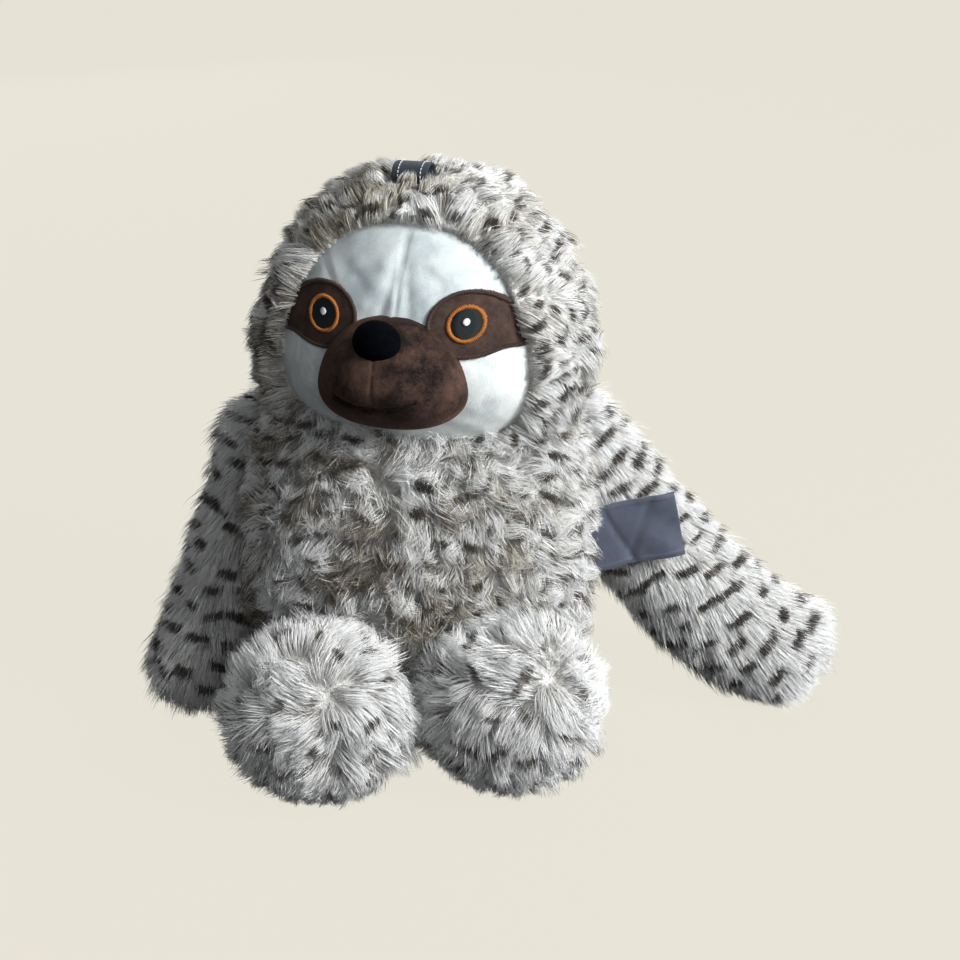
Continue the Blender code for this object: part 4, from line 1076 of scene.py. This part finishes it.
def wrinkles(x, z):
    """Relief of the face panel: its brow seam, creases and soft waves."""
    off = x - BROW_SEAM
    relief = -0.0014 * np.exp(-(off / 0.0011)**2) * smooth_step(0.268, 0.285, z)
    for start, end, width, height in CREASES:
        relief = relief + height * crease(off, z, start, end, width)
    folds = 0.0005 * np.sin(x * 150.0 + 90.0 * z) * np.exp(-((z - 0.292) / 0.016)**2)
    soft = 0.0004 * np.sin(x * 230.0 + 2.0 * np.sin(z * 150.0)) * np.sin(z * 190.0 + 60.0 * x)
    return relief + folds + soft


def face():
    """Panel, patches and embroidered eyes."""
    tree = tree_of(head_grid(FACE_DEPTH))
    panel = disc("face_cloth", face_outline(0.0015, 12), tree, 44, 0.0, SHORT_PILE, wrinkles, 0.003)
    placed(panel, "head", "panel_pile", "face_panel", fill=0.5)
    for side, name in ((1.0, "left"), (-1.0, "right")):
        outline = patch_outline(side)
        middle = outline.mean(0)
        patch = disc(name + "_patch", outline, tree, 16, PATCH_LIFT, PATCH_VELVET, edge=0.0003)
        placed(patch, "head", "patch_velvet", name + "_eye_patch")
        satin(name + "_patch_border", middle + (outline - middle) * 0.975, tree, PATCH_LIFT, 0.0022, 0.0007,
              EDGING, "patch_velvet")
        eye = np.array((HEAD_SHIFT + side * EYE_SPREAD, EYE_MIDDLE))
        satin(name + "_iris", circle(eye, EYE_RADIUS - EYE_RING / 2), tree, 0.0017, EYE_RING, 0.00075,
              ORANGE, "orange_thread", name + "_eye_ring")
        filled(name + "_pupil_stitches", eye, EYE_RADIUS - EYE_RING + 0.0001, tree, 0.0016, 0.00042,
               SLATE, "slate_thread", name + "_pupil")
        filled(name + "_glint_stitches", eye + (0.0, 0.0012), 0.0018, tree, 0.0022, 0.00040,
               WHITE, "white_thread", name + "_eye_glint")


def mouth_height(share):
    """Height of the mouth's line at a share of its half width."""
    return MUZZLE_MIDDLE - MOUTH_DROP - MOUTH_SAG * (1.0 - share**2)


def muzzle():
    """Velvet muzzle with its seam and stitched mouth."""
    spine = [(HEAD_SHIFT, -MUZZLE_ROOT - MUZZLE_LENGTH * share, MUZZLE_MIDDLE + lift)
             for share, lift in ((0.0, 0.0), (0.6, 0.0), (1.0, MUZZLE_LIFT))]
    grid = barrel(spine, (1, 0, 0), MUZZLE_WIDTHS, MUZZLE_HEIGHTS, MUZZLE_FULLNESS)
    rise = np.clip((grid[..., 2] - MUZZLE_MIDDLE) / MUZZLE_HEIGHTS[0], -1.0, 1.2)
    grid[..., 0] = HEAD_SHIFT + (grid[..., 0] - HEAD_SHIFT) * (1.03 - 0.19 * rise)
    _, normals = surface(grid)
    off, height = grid[..., 0] - HEAD_SHIFT, grid[..., 2]
    front = smooth_step(-0.06, -0.085, grid[..., 1])
    seam = np.exp(-(off / 0.0011)**2) * front * smooth_step(0.222, 0.230, height)
    share = off / MOUTH_HALF_WIDTH
    mouth = np.exp(-((height - mouth_height(share)) / 0.0016)**2) * (np.abs(share) < 1.0) * front
    grid = grid - normals * (0.0005 * seam + 0.0012 * mouth)[..., None]
    cover = capped("muzzle_velvet_cover", turned(grid), MUZZLE_VELVET)
    placed(cover, "head", "muzzle_velvet", "muzzle_cover", "muzzle_stuffing", fill=0.9)

    shares = np.linspace(-1.0, 1.0, 23)
    line = np.stack((HEAD_SHIFT + shares * MOUTH_HALF_WIDTH, mouth_height(shares)), 1)
    places, normals = on_face(tree_of(grid), line, 0.0004)
    starts, steps = places[:-1], np.diff(places, axis=0)
    threads("mouth_stitches", starts + steps * 0.08, starts + steps * 0.92, normals[:-1], THREAD_RADIUS,
            BROWN, "brown_thread", "mouth_stitching")


def nose():
    """Velvet nose on the muzzle's tip."""
    rows, sides = 40, 64
    angle = math.pi * (np.arange(rows) + 0.5) / rows
    around = 2.0 * math.pi * np.arange(sides) / sides
    directions = np.stack((np.outer(np.sin(angle), np.cos(around)), -np.outer(np.cos(angle), np.ones(sides)),
                           np.outer(np.sin(angle), np.sin(around))), -1)
    centre = np.array((HEAD_SHIFT, -(MUZZLE_ROOT + MUZZLE_LENGTH - NOSE_SIZES[1]), MUZZLE_MIDDLE + NOSE_RISE))
    pad = capped("nose_velvet_pad", turned(centre + directions * NOSE_SIZES), NOSE_VELVET)
    placed(pad, "head", "nose_velvet", "nose_pad", fill=0.9)


def loop():
    """Webbing loop on the crown with two rows of stitches."""
    seat_depth = SEAT_DEPTH * math.sqrt(1.0 - (0.5 * LOOP_WIDTH / SEAT_HALF_WIDTH)**2) - SEAT_LIFT
    foot = HEAD_BOTTOM + HEAD_HEIGHT - seat_depth
    angle = 2.0 * math.pi * np.arange(LOOP_STEPS) / LOOP_STEPS + 0.001
    swing = np.sin(angle) * np.abs(np.sin(angle / 2.0))**0.5
    height = (1.0 - np.cos(angle)) / 2.0
    middle = np.stack((LOOP_MIDDLE[1] - (LOOP_HALF_GAP + LOOP_THICKNESS / 2) * swing,
                       foot + LOOP_THICKNESS / 2 + (LOOP_RISE - LOOP_THICKNESS) * height), 1)
    run = unit(np.roll(middle, -1, 0) - np.roll(middle, 1, 0))
    outward = np.stack((run[:, 1], -run[:, 0]), 1)
    outward *= np.sign(np.sum(outward * (middle - middle.mean(0)), 1).mean())
    lengths = distances(middle)
    profile = (*LOOP_PROFILE, *((-x, -h) for x, h in LOOP_PROFILE))
    verts, uvs = [], []
    for k, length in enumerate(lengths):
        for x, h in profile:
            verts.append((LOOP_MIDDLE[0] + x * LOOP_WIDTH, *(middle[k] + outward[k] * h * LOOP_THICKNESS)))
            uvs.append((x * LOOP_WIDTH + 0.02, length + (0.0 if h > 0 else 0.05)))
    index = np.arange(len(verts)).reshape(LOOP_STEPS, -1)
    below = np.roll(index, -1, 0)
    faces = np.stack((index, np.roll(index, -1, 1), np.roll(below, -1, 1), below), -1).reshape(-1, 4)
    item = mesh_object("loop_webbing", turned(np.array(verts)), faces, WEBBING)
    weave_map(item, uvs)
    placed(item, "head", "webbing", "crown_loop")

    at = np.arange(0.002, lengths[-1] - 0.002, STITCH_PITCH)
    rows = LOOP_MIDDLE[0] + np.repeat((-STITCH_ROW, STITCH_ROW), len(at))
    at = np.tile(at, 2)

    def on_band(at):
        y, z, out_y, out_z = (np.interp(at, lengths, values) for values in (*middle.T, *outward.T))
        lift = LOOP_THICKNESS * 0.52
        places = np.stack((rows, y + out_y * lift, z + out_z * lift), 1)
        return turned(places), turned(np.stack((0.0 * rows, out_y, out_z), 1))
    starts, _ = on_band(at)
    ends, normals = on_band(at + STITCH_LENGTH)
    threads("loop_stitches", starts, ends, normals, LOOP_THREAD_RADIUS, WHITE, "white_thread", rise=1.3)


def torso_side(forward, height):
    """How far the body reaches sideways at a place."""
    t = (height + TORSO_SINK) / (TORSO_HEIGHT + TORSO_SINK)
    swell = (2.0 * math.sqrt(t * (1.0 - t)))**TORSO_FULLNESS
    half_width, half_depth = (float(bezier(sizes, t)) * swell for sizes in (TORSO_WIDTHS, TORSO_DEPTHS))
    middle = float(bezier((-TORSO_LEAN / 2, -TORSO_LEAN, TORSO_LEAN / 2), t))
    off = abs(-forward - middle) / half_depth
    return half_width * (1.0 - off**BODY_POWER)**(1.0 / BODY_POWER)


def label():
    """Bare satin ribbon, folded once, with a hem and soft folds."""
    heights = (LABEL_SEAM - LABEL_HEIGHT / 2, LABEL_SEAM + LABEL_HEIGHT / 2)
    low, high = (np.array((torso_side(LABEL_FORWARD, z), -LABEL_FORWARD, z)) for z in heights)
    bulge = torso_side(LABEL_FORWARD, LABEL_SEAM) - (low[0] + high[0]) / 2
    middle = (low + high) / 2 + (max(bulge, 0.0) + 0.0003, 0.0, 0.0)
    seam = unit(high - low)
    outward = np.array((seam[2], 0.0, -seam[0]))
    columns, rows = 72, 48
    u, v = np.meshgrid(np.linspace(0.0, 1.0, columns), np.linspace(-0.5, 0.5, rows), indexing="ij")
    wave = 0.0016 * np.sin(2.0 * math.pi * u) * u
    folds = 0.0012 * np.sin(9.0 * u + 7.0 * v) * u + 0.0018 * np.exp(-((u - 0.55 - 0.4 * v) / 0.06)**2)
    folds += 0.0012 * np.exp(-((u - 0.30 + 0.3 * v) / 0.05)**2)
    tilt = (LABEL_TILT * smooth_step(0.0, 0.35, u))[..., None]
    along = np.cos(tilt) * outward + np.sin(tilt) * seam
    upward = np.cos(tilt) * seam - np.sin(tilt) * outward
    centre = middle + along * (u * LABEL_LENGTH)[..., None] + upward * (v * LABEL_HEIGHT)[..., None]
    centre[..., 1] += wave + folds * 0.7
    thick = 0.0005 + 0.0004 * np.exp(-((np.abs(v) - 0.44) / 0.012)**2)
    verts = np.concatenate([(centre + thick[..., None] * way * AHEAD).reshape(-1, 3) for way in (1.0, -1.0)])
    size = columns * rows
    sheet = grid_faces(columns, rows, False)
    index = np.arange(size).reshape(columns, rows)
    border = np.concatenate((index[:, 0], index[-1, 1:], index[-2::-1, -1], index[0, -2:0:-1]))
    after = np.roll(border, -1)
    edges = np.stack((border, after, after + size, border + size), 1)
    item = mesh_object("label_ribbon", verts, np.concatenate((sheet, sheet[:, ::-1] + size, edges)), RIBBON)
    u, v = u.ravel() * LABEL_LENGTH, v.ravel() * LABEL_HEIGHT
    weave_map(item, np.concatenate([np.stack((u, v + place), 1) for place in (0.03, 0.09)]))
    finished(started(item), item.data)
    placed(item, "label", "ribbon", "care_label")


# Stage

def seen_as(tree, output, seen, otherwise):
    """Shows one shader to the camera and another to all other rays."""
    ray = tree.nodes.new("ShaderNodeLightPath")
    choose = tree.nodes.new("ShaderNodeMixShader")
    feed(tree, choose.inputs, (ray.outputs["Is Camera Ray"], otherwise.outputs[0], seen.outputs[0]))
    tree.links.new(choose.outputs[0], tree.nodes[output].inputs["Surface"])


def aimed(name, data, place):
    """Lamp or camera at a place, turned towards the toy."""
    item = added(name, data)
    item.location = place
    item.rotation_euler = (VIEW_TARGET - item.location).to_track_quat("-Z", "Y").to_euler()
    return item


def stage():
    """Pale floor, studio light and the camera."""
    scene = bpy.context.scene
    scene.view_settings.view_transform = "Standard"
    scene.view_settings.look = "None"
    world = bpy.data.worlds.new("studio")
    scene.world = world
    world.use_nodes = True
    tree = world.node_tree
    background = tree.nodes["Background"]
    background.inputs["Color"].default_value = (0.92, 0.92, 0.93, 1.0)
    background.inputs["Strength"].default_value = 0.23
    sky = node(tree, "ShaderNodeBackground", Color=PALE, Strength=1.0)
    seen_as(tree, "World Output", sky, background)

    floor_material, tree, shader = material("floor", 0.9, specular=0.0)
    shader.inputs["Base Color"].default_value = (0.014, 0.0135, 0.012, 1.0)
    glow = node(tree, "ShaderNodeEmission", Color=PALE, Strength=0.983)
    both = tree.nodes.new("ShaderNodeAddShader")
    feed(tree, both.inputs, (glow.outputs[0], shader.outputs[0]))
    seen_as(tree, "Material Output", both, shader)
    corners = [(x * FLOOR_HALF, y * FLOOR_HALF, 0) for x, y in ((-1, -1), (1, -1), (1, 1), (-1, 1))]
    mesh_object("floor", corners, [(0, 1, 2, 3)], floor_material)

    for name, place, power, size, colour in (
            ("key", (1.40, -0.95, 1.20), 63.0, 0.8, (1.0, 1.0, 0.99)),
            ("fill", (0.3, -1.8, 0.8), 6.5, 1.2, (0.96, 0.98, 1.0)),
            ("back", (-0.7, 1.9, 0.8), 24.0, 1.4, (1.0, 1.0, 1.0))):
        lamp = bpy.data.lights.new(name, "AREA")
        lamp.energy, lamp.size, lamp.color = power, size, colour
        aimed(name, lamp, place)

    camera = bpy.data.cameras.new("camera")
    camera.lens, camera.sensor_width = 81.3, 36.0
    camera.shift_x, camera.shift_y = 0.0625, -0.0365
    elevation, distance = math.radians(20.0), 1.3
    away = Vector((0.0, -math.cos(elevation), math.sin(elevation))) * distance
    scene.camera = aimed("camera", camera, VIEW_TARGET + away)


stage()
torso_and_pile()
head_and_pile()
for body_side in (1.0, -1.0):
    arm_and_pile(body_side)
    leg_and_pile(body_side)
face()
muzzle()
nose()
loop()
label()
